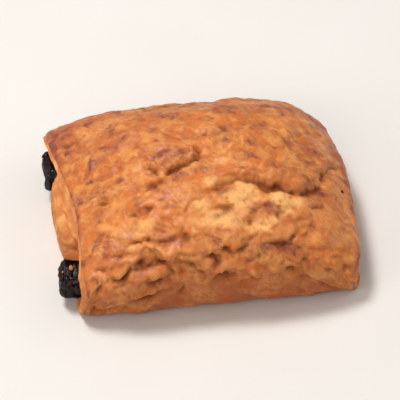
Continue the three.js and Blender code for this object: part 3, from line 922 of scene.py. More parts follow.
def read_points(mesh: bpy.types.Mesh) -> tuple[Array, Array]:
    """Return a mesh's points, in millimetres, and their normals.

    Args:
        mesh: The mesh.

    Returns:
        The points and the normals, one to a row.
    """
    points = np.zeros(len(mesh.vertices) * 3, np.float32)
    mesh.vertices.foreach_get("co", points)
    normals = np.zeros_like(points)
    mesh.vertex_normals.foreach_get("vector", normals)
    return points.reshape(-1, 3).astype(float) / MM, normals.reshape(-1, 3).astype(float)


def write_points(mesh: bpy.types.Mesh, points: Array) -> None:
    """Move a mesh's points to `points`, in millimetres."""
    mesh.vertices.foreach_set("co", (points * MM).astype(np.float32).ravel())
    mesh.update()


@dataclass(frozen=True)
class BatonForm:
    """The bars of chocolate, in millimetres."""

    width: float = 16.4
    height: float = 9.8
    bottom: float = 4.7
    squareness: float = 5.0
    front_y: float = -28.5
    back_y: float = 32.0
    far_setback: float = 6.0

    @property
    def middle_z(self) -> float:
        """Height of the bars' axes."""
        return self.bottom + self.height / 2

    def distance(self, y: Array, z: Array) -> Array:
        """Return the distance from the nearer bar's sides, negative inside a bar.

        Args:
            y: Place of each point across the roll.
            z: Height of each point.

        Returns:
            The distance of each point.
        """
        from_axis = np.minimum(np.abs(y - self.front_y), np.abs(y - self.back_y))
        across = from_axis - self.width / 2
        up = np.abs(z - self.middle_z) - self.height / 2
        outside = np.hypot(np.maximum(across, 0), np.maximum(up, 0))
        return outside + np.minimum(np.maximum(across, up), 0)


@dataclass
class CrustRoll:
    """The dough with its crust, as one closed skin."""

    form: RollForm = RollForm()
    relief: CrustRelief = field(default_factory=CrustRelief)
    batons: BatonForm = BatonForm()
    length_steps: int = 230
    girth_steps: int = 312
    skin_girth: float = 240.0
    crust_thickness: float = 3.2
    face_border: float = 4.8
    rings: int = 16
    ring_crowding: float = 1.7
    relief_fade: float = 1.2
    core_steps: int = 44
    core_middle: float = -0.6
    core_half_width: float = 19.8
    core_rounding: float = 6.5
    pimple_height: float = 0.07
    pimple_size: float = 2.3
    pocket_depth: float = 6.0
    layer_pitch: float = 1.35
    deep_inset: float = 9.0

    def build(self) -> bpy.types.Object:
        """Build the skin of the dough and return its object.

        Returns:
            The crust's object.
        """
        skin = SkinMesh()
        base, girth = self.form.skin(self.length_steps, self.girth_steps)
        surface, marks = self.displaced(base, girth)
        body = skin.add(surface, marks)
        for i in range(self.length_steps):
            skin.join(body[i], body[i + 1])
        for side, at in ((Side.SHOWN, 0), (Side.FAR, -1)):
            self.close_end(skin, side, base[at], surface[at], marks[at], body[at])
        crust = skin.build("pastry_crust", (BAKE_AND_SHADING_MARKS, ZONE_MARKS))
        self.pimple(crust.data)
        return crust

    def pimple(self, mesh: bpy.types.Mesh) -> None:
        """Roughen the whole skin finely, apart from where it rests on the floor.

        Args:
            mesh: The crust's mesh, changed in place.
        """
        points, normals = read_points(mesh)
        pimples = self.pimple_height * solid_noise(points, self.pimple_size, 71)
        height = pimples * ease(0.4, 2.5, points[:, 2])
        write_points(mesh, points + normals * height[:, None])

    def displaced(self, base: Array, girth: Array) -> tuple[Array, Array]:
        """Return the skin raised by its relief, and its marks.

        Args:
            base: Grid of points of the base form.
            girth: Girth coordinate of each point.

        Returns:
            The raised points, and the marks of each.
        """
        x, s = base[..., 0], girth
        around = np.roll(base, -1, axis=1) - np.roll(base, 1, axis=1)
        normal = np.cross(around, np.gradient(base, axis=0))
        normal /= np.linalg.norm(normal, axis=-1, keepdims=True)
        forward = around / np.linalg.norm(around, axis=-1, keepdims=True)
        pitch = (self.form.length / self.length_steps, self.skin_girth / self.girth_steps)
        state = self.relief.at(x, s, pitch)

        above_floor = ease(0.5, 5.0, base[..., 2])
        near_end = np.minimum(x - x[0], x[-1] - x)
        calm = self.calm(near_end)
        bead = 0.3 * bell((near_end - 1.5) / 1.3) - 0.2 * bell((near_end - 4.2) / 0.9)
        general = mix(0.45, 1.0, ease(0.0, 3.0, near_end)) * state.general
        height = general + calm * state.skin + bead
        # The folds lean forward and down, so that some overhang.
        leaning = np.clip(calm * (state.skin + 0.6 * state.general), -1.5, 1.5)
        leaning = 0.5 * np.tanh(s / 12) * leaning
        surface = base + above_floor[..., None] * (
            normal * height[..., None] + forward * leaning[..., None])
        lift = (1 - above_floor) * self.relief.underside_lift(x, base[..., 1])
        surface[..., 2] = np.maximum(np.maximum(surface[..., 2], 0.0), lift)
        return surface, self.bake_marks(base, s, near_end, state)

    def calm(self, near_end: Array) -> Array:
        """Return how much of the skin's fine relief is left near the lips of the ends."""
        return mix(0.35, 1.0, ease(0.6, 4.5, near_end))

    def bake_marks(self, base: Array, s: Array, near_end: Array, state: SkinState) -> Array:
        """Return the marks of the crust.

        Args:
            base: Grid of points of the base form.
            s: Girth coordinate of each point.
            near_end: Distance of each point from the nearer lip.
            state: State of the skin.

        Returns:
            The marks of each point, in the order of Mark.
        """
        x = base[..., 0]
        detail = state.general - self.relief.layers[0].raised(x, s) + state.skin
        # Painted shade: the hollows of the relief are painted darker, for the shade in them and
        # the deeper brown they bake to.
        hollow_shade = ease(-0.3, -1.8, detail) * self.calm(near_end)
        raised = ease(0.1, 1.5, detail)
        patches = ease(0.0, 0.5, fractal(x / 8 - s / 21, s / 6, 41, 3))
        mottle = ease(0.02, 0.55, fractal(x / 4.4, s / 3.6, 42, 3))
        rim = 0.6 * bell(near_end - 0.5) * (1 + noise(s / 5, x / 40, 47))
        # Painted highlight: the raised ridges of the front side are painted lighter.
        lit = raised * bell((s - 47) / 12)
        # Darker behind the crest and towards its horizon, partly from more browning and partly as
        # painted shade; down the front side as painted shade, less the painted highlight.
        shoulder = 0.4 * ease(-34, -43, s) * ease(-70, -54, s)
        side_shading_and_browning = shoulder + 0.22 * ease(-8, -36, s) + 0.1 * ease(44, 62, s) - 0.25 * lit
        browned = 0.3 * patches + 0.36 * mottle * (0.6 + patches) + 0.85 * state.brown
        browned = browned + 0.15 * raised + rim + side_shading_and_browning
        browned = browned + 0.3 * state.tone - 0.5 * state.pale - 0.3 * state.split
        bare = 0.85 * np.clip(state.pale, 0, 1) * ease(1.4, 0.2, detail)
        # The painted highlight also pales the front ridges.
        split = np.clip(0.45 * state.split + bare + 0.15 * lit, 0, 1)
        under = ease(5.0, 0.4, base[..., 2])
        # Painted shade: the lower sides, front and back, are marked to be painted a deeper brown;
        # they also get less glaze.
        low = np.maximum(ease(48, 68, s), ease(-58, -76, s))
        inner = np.zeros(x.shape)
        return np.stack([np.clip(browned, 0.0, 1.0), split, hollow_shade, under, inner, low], axis=-1)

    def face_x(self, side: Side, y: Array, z: Array, inset: Array) -> Array:
        """Return x of an end's face: the crust's edge, the pockets of the bars, the inner dough.

        Args:
            side: Which end.
            y: Place of each point across the roll.
            z: Height of each point.
            inset: Distance of each point inside the outline.

        Returns:
            The place of each point along the roll.
        """
        end, width = self.form.end(side), self.core_half_width
        around_bar = self.batons.distance(y, z)
        edge = (y - self.core_middle + 1.2 * noise(z / 4.5, y / 14, 59)) / width
        across = np.sqrt(np.maximum(0, 1 - np.abs(edge) ** 4))
        beyond = np.clip((inset - self.crust_thickness) / self.core_rounding, 0, 1)
        bulge = across * np.sqrt(1 - (1 - beyond) ** 2)
        rim = self.rim_setback(side, y, z, inset)
        if side is Side.SHOWN:
            # A tongue of dough hangs over the inner edge of the front bar, beside a gap.
            tongue = ease(1.3, 0.4, oval(y, z, (-21.8, 15.6), (3.6, 1.5)))
            bulge = np.maximum(bulge, 0.95 * tongue)
            rim = rim + 4.5 * bell(oval(y, z, (-28, 17.5), (5.5, 2.2)))
        core = mix(end.core_front, end.core_back, ease(-width, width, y))
        pocket = self.pocket_depth * ease(2.1, 0.0, around_bar)
        setback = mix(rim, core, bulge) + mix(pocket, 0.35 * pocket, bulge)
        setback = setback + self.layering(y, z, inset, around_bar)
        rough = 0.3 * noise(y / 6, z / 4, 8) + 0.2 * fractal(y / 2.2, z / 1.4, 54, 2)
        return side.value * (self.form.length / 2 - setback - rough)

    def rim_setback(self, side: Side, y: Array, z: Array, inset: Array) -> Array:
        """Return how far the crust's edge and the second layer stand back at (y, z).

        Args:
            side: Which end.
            y: Place of each point across the roll.
            z: Height of each point.
            inset: Distance of each point inside the outline.

        Returns:
            The setback at each point.
        """
        thickness = self.crust_thickness
        lip = -0.5 * ease(0, 0.9, inset) * ease(thickness, 0.9, inset)
        groove = 0.9 * ease(0.9, thickness, inset)
        layer = ease(0.2, 1.2, inset) * np.sqrt(ease(thickness, 1.8, inset))
        ledge = layer * self.form.ledge_reach(side, y, z) * (1 + 0.16 * noise(y / 5, z / 9, 58))
        return self.form.lip_setback(side, y, z) + lip + groove - ledge

    def layering(self, y: Array, z: Array, inset: Array, around_bar: Array) -> Array:
        """Return the depth of the fine layers and of the gap inside the crust at (y, z).

        Args:
            y: Place of each point across the roll.
            z: Height of each point.
            inset: Distance of each point inside the outline.
            around_bar: Distance of each point from the nearer bar.

        Returns:
            The depth at each point.
        """
        wrapped = np.minimum(inset, self.crust_thickness + 1.3 * np.maximum(around_bar, 0))
        waver = 0.5 * noise(y / 5, z / 5, 52)
        layered = 0.3 * np.sin(2 * math.pi * (wrapped + waver) / self.layer_pitch)
        layered = layered * ease(3.0, 4.0, inset) * ease(-0.5, 0.3, noise(y / 9, z / 4, 53))
        parting = ease(-0.5, 0.2, noise(y / 11, z / 11, 56))
        return layered + 1.5 * bell((inset - 3.5) / 0.45) * parting

    def close_end(self, skin: SkinMesh, side: Side, base: Array, lip: Array, lip_marks: Array,
                  numbers: Array) -> None:
        """Close one end with its crust's edge and the inner dough.

        Args:
            skin: The skin to close.
            side: Which end.
            base: Lip ring of the base form.
            lip: The same ring of the raised skin.
            lip_marks: Marks of that ring.
            numbers: Numbers of that ring in the skin.
        """
        outline = base[:, 1:]
        inward = inward_directions(outline)
        raised = lip[:, 1:] - outline
        ring, inset = numbers, 0.0
        place = outline
        for step in range(1, self.rings + 1):
            inset = self.face_border * (step / self.rings) ** self.ring_crowding
            place = outline + inward * inset + raised * math.exp(-inset / self.relief_fade)
            points = self.face_points(side, place, np.full(len(place), inset))
            marks = self.face_marks(lip_marks, points, inset)
            inner = skin.add(points, marks)
            if side is Side.SHOWN:
                skin.join(inner, ring)
            else:
                skin.join(ring, inner)
            ring = inner
        self.close_core(skin, side, place, ring, lip_marks, inset)

    def face_points(self, side: Side, place: Array, inset: Array) -> Array:
        """Return the points of an end's face at (y, z)."""
        y, z = place[..., 0], place[..., 1]
        return np.stack([self.face_x(side, y, z, inset), y, z], axis=-1)

    def face_marks(self, lip_marks: Array, points: Array, inset: float) -> Array:
        """Return the marks of an end's face: browned at the lip, paler within.

        Args:
            lip_marks: Marks of the lip next to each point.
            points: The face's points.
            inset: Distance of the points inside the outline.

        Returns:
            The marks of each point, in the order of Mark.
        """
        x, y, z = points[..., 0], points[..., 1], points[..., 2]
        inside = float(ease(0.15, 0.7, inset))
        marks = np.array(lip_marks)
        streaks = fractal(y / 9, (z + 0.9 * np.abs(x)) / 1.3, 55, 3)
        brown = np.clip(0.2 + 0.9 * streaks + 0.1 * float(ease(2.0, 4.0, inset)), 0, 1)
        edge_light = 0.3 * float(bell((inset - 1.6) / 0.7)) * ease(-24, -14, y)
        light = ease(0.0, -0.8, streaks) + edge_light
        marks[..., Mark.BROWNING_AND_SHADING] = mix(marks[..., Mark.BROWNING_AND_SHADING], brown, inside)
        marks[..., Mark.SPLIT_AND_HIGHLIGHT] = mix(marks[..., Mark.SPLIT_AND_HIGHLIGHT], np.clip(light, 0, 1), inside)
        shaded = np.maximum(ease(1.6, 0.0, self.batons.distance(y, z)),
                            bell(oval(y, z, (-27.5, 17.5), (6.5, 2.6))))
        marks[..., Mark.HOLLOW_SHADE] = shaded * inside * float(ease(1.4, 2.6, inset))
        marks[..., Mark.UNDERSIDE] *= 1 - inside
        marks[..., Mark.INNER_DOUGH] = inside
        # Painted shade towards the foot of the end, with less glaze there.
        marks[..., Mark.LOW_SIDE_SHADE] = ease(12.0, 3.0, z)
        return marks

    def close_core(self, skin: SkinMesh, side: Side, place: Array, ring: Array, lip_marks: Array,
                   inset: float) -> None:
        """Fill the middle of an end by columns between its lower and upper half.

        Args:
            skin: The skin to close.
            side: Which end.
            place: (y, z) of the innermost ring.
            ring: Numbers of that ring.
            lip_marks: Marks of the lip ring.
            inset: Distance of that ring inside the outline.
        """
        count, quarter = len(ring), len(ring) // 4
        order = np.arange(count // 2 + 1)
        top, bottom = (quarter + order) % count, (quarter - order) % count
        share = np.linspace(0, 1, self.core_steps + 1)[1:-1]
        low, high = place[bottom][:, None], place[top][:, None]
        inner = mix(low, high, share[None, :, None])
        gap = np.linalg.norm(high - low, axis=-1)
        depth = inset + np.minimum(share, 1 - share)[None, :] * gap
        points = self.face_points(side, inner, depth)
        marks = self.face_marks(np.repeat(lip_marks[top][:, None], len(share), axis=1), points,
                                self.deep_inset)
        columns = np.empty((len(order), self.core_steps + 1), int)
        columns[:, 0], columns[:, -1] = ring[bottom], ring[top]
        columns[1:-1, 1:-1] = skin.add(points[1:-1], marks[1:-1])
        columns[0, :], columns[-1, :] = ring[top[0]], ring[top[-1]]
        skin.cap(columns, side.value)


@dataclass
class ChocolateBaton:
    """One bar of chocolate with crumbly, rounded ends."""

    name: str
    y: float
    form: BatonForm = BatonForm()
    length: float = 126.0
    around: int = 132
    end_length: float = 12.0
    end_step: float = 0.26
    middle_rings: int = 12
    rounding: float = 2.6
    smallest: float = 0.76
    chipped: float = 0.0
    cap_steps: int = 30
    doming: float = 0.7

    def stations(self) -> list[tuple[float, float]]:
        """Return x and the distance from the nearer end of each ring.

        Returns:
            The place and the distance of each ring, from -X to +X.
        """
        near = np.arange(0.0, self.end_length, self.end_step)
        left, right = -self.length / 2, self.length / 2 - self.form.far_setback
        shown = [(left + d, d) for d in near]
        margin = self.end_length + 2.0
        places = np.linspace(left + margin, right - margin, self.middle_rings)
        middle = [(x, self.end_length) for x in places]
        far = [(right - d, d) for d in near[::-1]]
        return shown + middle + far

    def ring(self, x: float, from_end: float) -> Array:
        """Return one ring of the bar, `from_end` from its nearer end.

        Args:
            x: Place of the ring along the roll.
            from_end: Distance from the bar's nearer end.

        Returns:
            The ring's points.
        """
        inside = np.clip(1 - from_end / self.rounding, 0, 1)
        size = mix(self.smallest, 1.0, math.sqrt(1 - inside ** 2))
        angle = -math.pi / 2 + 2 * math.pi * (np.arange(self.around) + 0.5) / self.around
        power = 2 / self.form.squareness
        across = signed_power(np.cos(angle), power)
        up = signed_power(np.sin(angle), power)
        y = self.y + across * size * self.form.width / 2
        z = self.form.middle_z + up * size * self.form.height / 2
        return np.stack([np.full(self.around, x), y, z], axis=-1)

    def build(self) -> bpy.types.Object:
        """Build the bar and return its object.

        Returns:
            The bar's object.
        """
        skin = SkinMesh()
        places = [self.ring(x, from_end) for x, from_end in self.stations()]
        rings = [skin.add(points, np.zeros((self.around, 3))) for points in places]
        for near, far in zip(rings, rings[1:]):
            skin.join(near, far)
        for side, at in ((Side.SHOWN, 0), (Side.FAR, -1)):
            self.close_end(skin, rings[at], places[at], side.value)
        bar = skin.build(self.name, (BAKE_AND_SHADING_MARKS,))
        self.roughen(bar.data)
        return bar

    def roughen(self, mesh: bpy.types.Mesh) -> None:
        """Wear the bar's ends down to the lumpy, crumbly surface of baked chocolate.

        Args:
            mesh: The bar's mesh, changed in place.
        """
        points, normals = read_points(mesh)
        half = self.length / 2
        from_end = np.minimum(points[:, 0] + half, half - self.form.far_setback - points[:, 0])
        shifted = points + np.array([0.0, self.y, 0.0])
        lumps = solid_noise(shifted, 3.6, 61)
        chips = 1 - np.clip(np.abs(solid_noise(shifted, 2.7, 64)) * 2.4, 0, 1)
        grit = solid_noise(shifted, 1.2, 67, 2)
        worn = 0.1 + 0.45 * lumps + 0.9 * chips ** 2 + 0.42 * grit
        worn = ease(self.end_length, 7.0, from_end) * np.maximum(worn, -0.3)
        above = points[:, 2] - self.form.middle_z
        inner_top = ease(0.5, 8.0, points[:, 1] - self.y) * ease(-2.0, 4.5, above)
        broken = self.chipped * inner_top * ease(10.0, 0.0, points[:, 0] + half)
        points[:, 0] += broken
        write_points(mesh, points - normals * worn[:, None])

    def close_end(self, skin: SkinMesh, ring: Array, place: Array, outward: int) -> None:
        """Close one end with a slightly domed face.

        Args:
            skin: The skin to close.
            ring: Numbers of the last ring.
            place: Points of that ring.
            outward: 1 for the end at +X, and -1 for the end at -X.
        """
        quarter = self.around // 4
        order = np.arange(self.around // 2)
        top, bottom = (quarter + order) % self.around, (quarter - 1 - order) % self.around
        share = np.linspace(0, 1, self.cap_steps + 1)[1:-1]
        inner = mix(place[bottom][:, None], place[top][:, None], share[None, :, None])
        y, z = inner[..., 1], inner[..., 2]
        off_middle = oval(y, z, (self.y, self.form.middle_z), (self.form.width, self.form.height))
        inner[..., 0] += outward * self.doming * ease(0.17, 0.0, off_middle)
        numbers = skin.add(inner, np.zeros(inner.shape))
        columns = np.concatenate([ring[bottom][:, None], numbers, ring[top][:, None]], axis=1)
        skin.cap(columns, outward)
        for column in (columns[0], columns[-1]):
            side = column.tolist()
            if (column is columns[0]) == (outward < 0):
                side.reverse()
            skin.faces.append(side)


@dataclass(frozen=True)
class Crumb:
    """A loose crumb: where it lies, seen from above, and its three radii, in millimetres.

    It is dropped from the height `drop`, and its middle comes to stand above the piece by the
    share `sits_at` of its upright radius.
    """

    at: tuple[float, float]
    radii: tuple[float, float, float]
    seed: int
    drop: float = 200.0
    roughness: float = 0.22
    sits_at: float = 0.55

    def lay(self, ground: bpy.types.Object) -> tuple[Array, list[list[int]]]:
        """Return the points and faces of the crumb where it lies on a piece.

        Args:
            ground: Piece that the crumb lies on.

        Returns:
            The points, in millimetres, and the faces.
        """
        from_above = Vector((self.at[0] * MM, self.at[1] * MM, self.drop * MM))
        _, place, normal, _ = ground.ray_cast(from_above, Vector((0, 0, -1)))
        ball = bmesh.new()
        bmesh.ops.create_icosphere(ball, subdivisions=3, radius=1.0)
        points = np.array([vertex.co[:] for vertex in ball.verts])
        faces = [[vertex.index for vertex in face.verts] for face in ball.faces]
        ball.free()
        rough = 1 + self.roughness * solid_noise(points, 0.8, self.seed, 2)
        points = points * rough[:, None] * np.array(self.radii)
        turn = np.array(normal.to_track_quat("Z", "X").to_matrix())
        middle = np.array(place) / MM + np.array(normal) * self.radii[2] * self.sits_at
        return points @ turn.T + middle, faces


def scatter(name: str, crumbs: tuple[Crumb, ...], ground: bpy.types.Object) -> bpy.types.Object:
    """Build crumbs of one kind as one piece.

    Args:
        name: Name of the piece.
        crumbs: The crumbs.
        ground: Piece that they lie on.

    Returns:
        The piece.
    """
    skin = SkinMesh()
    bpy.context.view_layer.update()
    for crumb in crumbs:
        points, faces = crumb.lay(ground)
        first = int(skin.add(points, np.full(points.shape, CRUMB_MARK))[0])
        skin.faces.extend([first + number for number in face] for face in faces)
    return skin.build(name, (BAKE_AND_SHADING_MARKS,))


# How far a crumb is browned, split and painted with hollow shade, where 1 is most.
CRUMB_MARK = 0.35

DOUGH_CRUMBS = (
    Crumb((-57.6, -27.6), (1.15, 0.95, 0.8), 91),
    Crumb((-61.2, -29.3), (0.5, 0.4, 0.35), 92),
)
BURNT_CRUMBS = (Crumb((57.2, -9.2), (0.75, 0.6, 0.45), 93),)


# ---- Finishes ----------------------------------------------------

Socket = bpy.types.NodeSocket
Colour = tuple[float, float, float, float]


class NodeGraph:
    """A small writer of shader nodes in one node tree."""

    def __init__(self, tree: bpy.types.NodeTree) -> None:
        """Start with an empty tree."""
        self.tree = tree
        tree.nodes.clear()

    def node(self, kind: str, inputs: dict[str | int, object] | None = None,
             **settings: object) -> bpy.types.Node:
        """Add a node.

        Args:
            kind: Type of the node, without the ShaderNode prefix.
            inputs: Values or sockets for its inputs, by name or number.
            **settings: Properties of the node.

        Returns:
            The new node.
        """
        node = self.tree.nodes.new(kind if kind.startswith("Node") else "ShaderNode" + kind)
        for name, value in settings.items():
            setattr(node, name, value)
        for name, value in (inputs or {}).items():
            self.feed(node.inputs[name], value)
        return node

    def feed(self, target: Socket, value: object) -> None:
        """Link a socket to an input, or set its value.

        Args:
            target: The input.
            value: A socket or a plain value.
        """
        if isinstance(value, bpy.types.NodeSocket):
            self.tree.links.new(value, target)
        else:
            target.default_value = value

    def math(self, operation: str, *values: object, clamp: bool = False) -> Socket:
        """Return the result of a math node."""
        node = self.node("Math", dict(enumerate(values)), operation=operation, use_clamp=clamp)
        return node.outputs[0]

    def ramp(self, value: Socket, low: float, high: float, out_low: float = 0.0,
             out_high: float = 1.0) -> Socket:
        """Return `value` mapped smoothly from low..high to out_low..out_high.

        Args:
            value: The value to map.
            low: Its lower limit.
            high: Its upper limit.
            out_low: Result at the lower limit.
            out_high: Result at the upper limit.

        Returns:
            The result's socket.
        """
        node = self.node("MapRange", {0: value, 1: low, 2: high, 3: out_low, 4: out_high},
                         interpolation_type="SMOOTHSTEP")
        return node.outputs[0]

    def blend(self, share: object, first: object, second: object, mode: str = "MIX") -> Socket:
        """Return two colours mixed by `share`.

        Args:
            share: Share of the second colour, as a socket or a number.
            first: First colour, as a socket or a colour.
            second: Second colour, as a socket or a colour.
            mode: Blend type of the node.

        Returns:
            The mixed colour's socket.
        """
        node = self.node("Mix", {0: share, 6: first, 7: second}, data_type="RGBA",
                         blend_type=mode, clamp_factor=True)
        return node.outputs[2]

    def tint(self, colour: object, other: Colour, share: Socket, strength: float) -> Socket:
        """Return `colour` turned towards `other` by `strength` times `share`."""
        return self.blend(self.math("MULTIPLY", share, strength, clamp=True), colour, other)

    def marks(self, name: str) -> list[Socket]:
        """Return the three marks that one colour attribute holds."""
        attribute = self.node("Attribute", attribute_name=name)
        return self.node("SeparateColor", {0: attribute.outputs["Color"]}).outputs[:3]

    def bump(self, height: Socket, strength: float, distance: float = 0.0003) -> Socket:
        """Return normals roughened by `height`, whose full range is `distance` metres deep."""
        node = self.node("Bump", {"Height": height, "Strength": strength, "Distance": distance})
        return node.outputs["Normal"]

    def noise(self, coordinate: Socket, size: float, detail: float = 3.0, roughness: float = 0.55,
              distortion: float = 0.0) -> Socket:
        """Return fractal noise whose features are about `size` millimetres wide.

        Args:
            coordinate: Where to look the noise up.
            size: Size of a feature, in millimetres.
            detail: Number of finer layers.
            roughness: Strength of each layer against the one before.
            distortion: How much the noise is swirled.

        Returns:
            The noise's socket, 0 to 1.
        """
        node = self.node("TexNoise", {
            "Vector": coordinate, "Scale": 1.0 / (size * MM), "Detail": detail,
            "Roughness": roughness, "Distortion": distortion})
        return node.outputs["Fac"]


def rgb(red: int, green: int, blue: int) -> Colour:
    """Return a colour given as it is seen, 0 to 255 a channel, as linear light with alpha 1.

    Args:
        red: Red as seen.
        green: Green as seen.
        blue: Blue as seen.

    Returns:
        The colour in linear light.
    """
    def linear(value: int) -> float:
        """Return one channel in linear light."""
        share = value / 255
        return share / 12.92 if share <= 0.04045 else ((share + 0.055) / 1.055) ** 2.4
    return linear(red), linear(green), linear(blue), 1.0


def grain_group() -> bpy.types.NodeTree:
    """Return the shared group that makes fine crumb: a height and a mottle mask.

    Returns:
        The group, with the input Size in millimetres and the outputs Height and Mottle.
    """
    name = "fine_crumb"
    if name in bpy.data.node_groups:
        return bpy.data.node_groups[name]
    tree = bpy.data.node_groups.new(name, "ShaderNodeTree")
    graph = NodeGraph(tree)
    tree.interface.new_socket("Size", in_out="INPUT", socket_type="NodeSocketFloat")
    tree.interface.new_socket("Height", in_out="OUTPUT", socket_type="NodeSocketFloat")
    tree.interface.new_socket("Mottle", in_out="OUTPUT", socket_type="NodeSocketFloat")
    entry = graph.node("NodeGroupInput")
    leave = graph.node("NodeGroupOutput")
    place = graph.node("TexCoord").outputs["Object"]
    scale = graph.math("DIVIDE", 1000.0, entry.outputs["Size"])
    fine = graph.node("TexNoise", {"Vector": place, "Scale": scale, "Detail": 2.0,
                                   "Roughness": 0.5}).outputs["Fac"]
    cells = graph.node("TexVoronoi", {"Vector": place, "Scale": scale, "Randomness": 1.0})
    bubbles = graph.ramp(cells.outputs["Distance"], 0.15, 0.75)
    height = graph.math("MULTIPLY_ADD", bubbles, 0.12, fine)
    coarse_scale = graph.math("DIVIDE", scale, 3.1)
    coarse = graph.node("TexNoise", {"Vector": place, "Scale": coarse_scale, "Detail": 3.0,
                                     "Roughness": 0.6, "Distortion": 0.4}).outputs["Fac"]
    graph.feed(leave.inputs["Height"], height)
    graph.feed(leave.inputs["Mottle"], graph.ramp(coarse, 0.36, 0.66))
    return tree


class Finish(ABC):
    """A finish that is one Principled shader, fed by a few nodes."""

    name: ClassVar[str]

    @abstractmethod
    def inputs(self, graph: NodeGraph) -> dict[str, object]:
        """Return the values and sockets that feed the shader, by the names of its inputs."""

    def material(self) -> bpy.types.Material:
        """Return the material.

        Returns:
            The new material.
        """
        material = bpy.data.materials.new(self.name)
        material.use_nodes = True
        graph = NodeGraph(material.node_tree)
        shader = graph.node("BsdfPrincipled", self.inputs(graph))
        graph.node("OutputMaterial", {"Surface": shader.outputs[0]})
        return material


@dataclass(frozen=True)
class CrustFinish(Finish):
    """Egg-glazed, browned crust with paler splits, inner dough and a matt underside, with painted
    shade in its hollows and on its lower sides and painted highlights on ridges.
    """

    name: ClassVar[str] = "baked_crust"
    golden: Colour = rgb(214, 122, 54)
    light_gold: Colour = rgb(232, 156, 84)
    red_brown: Colour = rgb(158, 80, 54)
    side_shade_brown: Colour = rgb(150, 66, 18)
    deep_brown: Colour = rgb(124, 58, 38)
    split_dough: Colour = rgb(255, 194, 122)
    crevice_shade: Colour = rgb(112, 50, 6)
    inner_dough: Colour = rgb(214, 134, 74)
    underside: Colour = rgb(140, 76, 38)
    crumb_size: float = 1.1
    crumb_bump: float = 0.22

    def inputs(self, graph: NodeGraph) -> dict[str, object]:
        """Return what feeds the shader.

        Args:
            graph: The material's nodes.

        Returns:
            The values and sockets, by the names of the shader's inputs.
        """
        # Besides the baking, the marks carry painted shade and painted highlights, and the last
        # zone mark is painted shade on the lower sides.
        browned, split, hollow_shade = graph.marks(BAKE_AND_SHADING_MARKS)
        under, inner, low = graph.marks(ZONE_MARKS)
        place = graph.node("TexCoord").outputs["Object"]
        crumb = graph.node("Group", {"Size": self.crumb_size}, node_tree=grain_group())
        mottle = crumb.outputs["Mottle"]

        blotch = graph.ramp(graph.noise(place, 6.5, 3.0, 0.5, 0.8), 0.42, 0.62)
        spots = graph.ramp(graph.noise(place, 3.6, 2.0, 0.5, 0.5), 0.42, 0.68)
        pale = graph.ramp(graph.noise(place, 4.6, 3.0, 0.55, 0.6), 0.42, 0.62)
        tan = graph.math("MULTIPLY_ADD", blotch, 0.22, graph.math("MULTIPLY", browned, 0.75))
        tan = graph.math("MULTIPLY_ADD", graph.math("MULTIPLY", spots, 0.5),
                         graph.math("ADD", tan, 0.3), tan)
        dark = graph.math("MULTIPLY", spots, graph.ramp(tan, 0.7, 1.4), clamp=True)
        fresh = graph.math("MULTIPLY", split, graph.ramp(mottle, 0.0, 0.8, 0.88))
        outer = graph.tint(self.golden, self.light_gold, pale, 0.8)
        outer = graph.tint(outer, self.red_brown, tan, 0.85)
        outer = graph.tint(outer, self.deep_brown, dark, 0.5)
        # Painted shade: the lower sides are painted a deeper brown.
        outer = graph.tint(outer, self.side_shade_brown, low, 0.6)
        outer = graph.tint(outer, self.split_dough, fresh, 0.88)
        # Painted shade: the hollows, pockets and gaps beside the bars are painted darker, here and
        # on the inner dough.
        outer = graph.tint(outer, self.crevice_shade, hollow_shade, 0.8)
        within = graph.tint(self.inner_dough, self.red_brown, browned, 0.6)
        within = graph.tint(within, self.split_dough, split, 0.5)
        within = graph.tint(within, self.crevice_shade, hollow_shade, 0.8)
        below = graph.tint(self.underside, self.deep_brown, blotch, 0.6)
        colour = graph.blend(under, graph.blend(inner, outer, within), below)
        tone = graph.ramp(crumb.outputs["Height"], 0.4, 0.95, 0.97, 1.03)
        grey = graph.node("CombineColor", {0: tone, 1: tone, 2: tone}).outputs[0]

        matt = graph.math("MAXIMUM", graph.math("MAXIMUM", split, inner), under)
        roughness = graph.math("ADD", graph.ramp(matt, 0.0, 1.0, 0.5, 0.75),
                               graph.ramp(mottle, 0.0, 1.0, -0.07, 0.1))
        glaze = graph.ramp(matt, 0.0, 0.7, 0.3, 0.06)
        for thinner in (graph.ramp(blotch, 0.0, 1.0, 0.55, 1.0),
                        graph.ramp(low, 0.0, 1.0, 1.0, 0.4),
                        graph.ramp(hollow_shade, 0.0, 0.6, 1.0, 0.0)):
            glaze = graph.math("MULTIPLY", glaze, thinner)
        return {
            "Base Color": graph.blend(1.0, colour, grey, mode="MULTIPLY"),
            "Roughness": graph.math("MULTIPLY_ADD", hollow_shade, 0.3, roughness, clamp=True),
            "Coat Weight": glaze, "Coat Roughness": 0.4,
            "Normal": graph.bump(crumb.outputs["Height"], self.crumb_bump),
            "IOR": 1.45, "Specular IOR Level": 0.3, "Subsurface Weight": 0.12,
            "Subsurface Radius": (1.0, 0.42, 0.18), "Subsurface Scale": 0.0015}


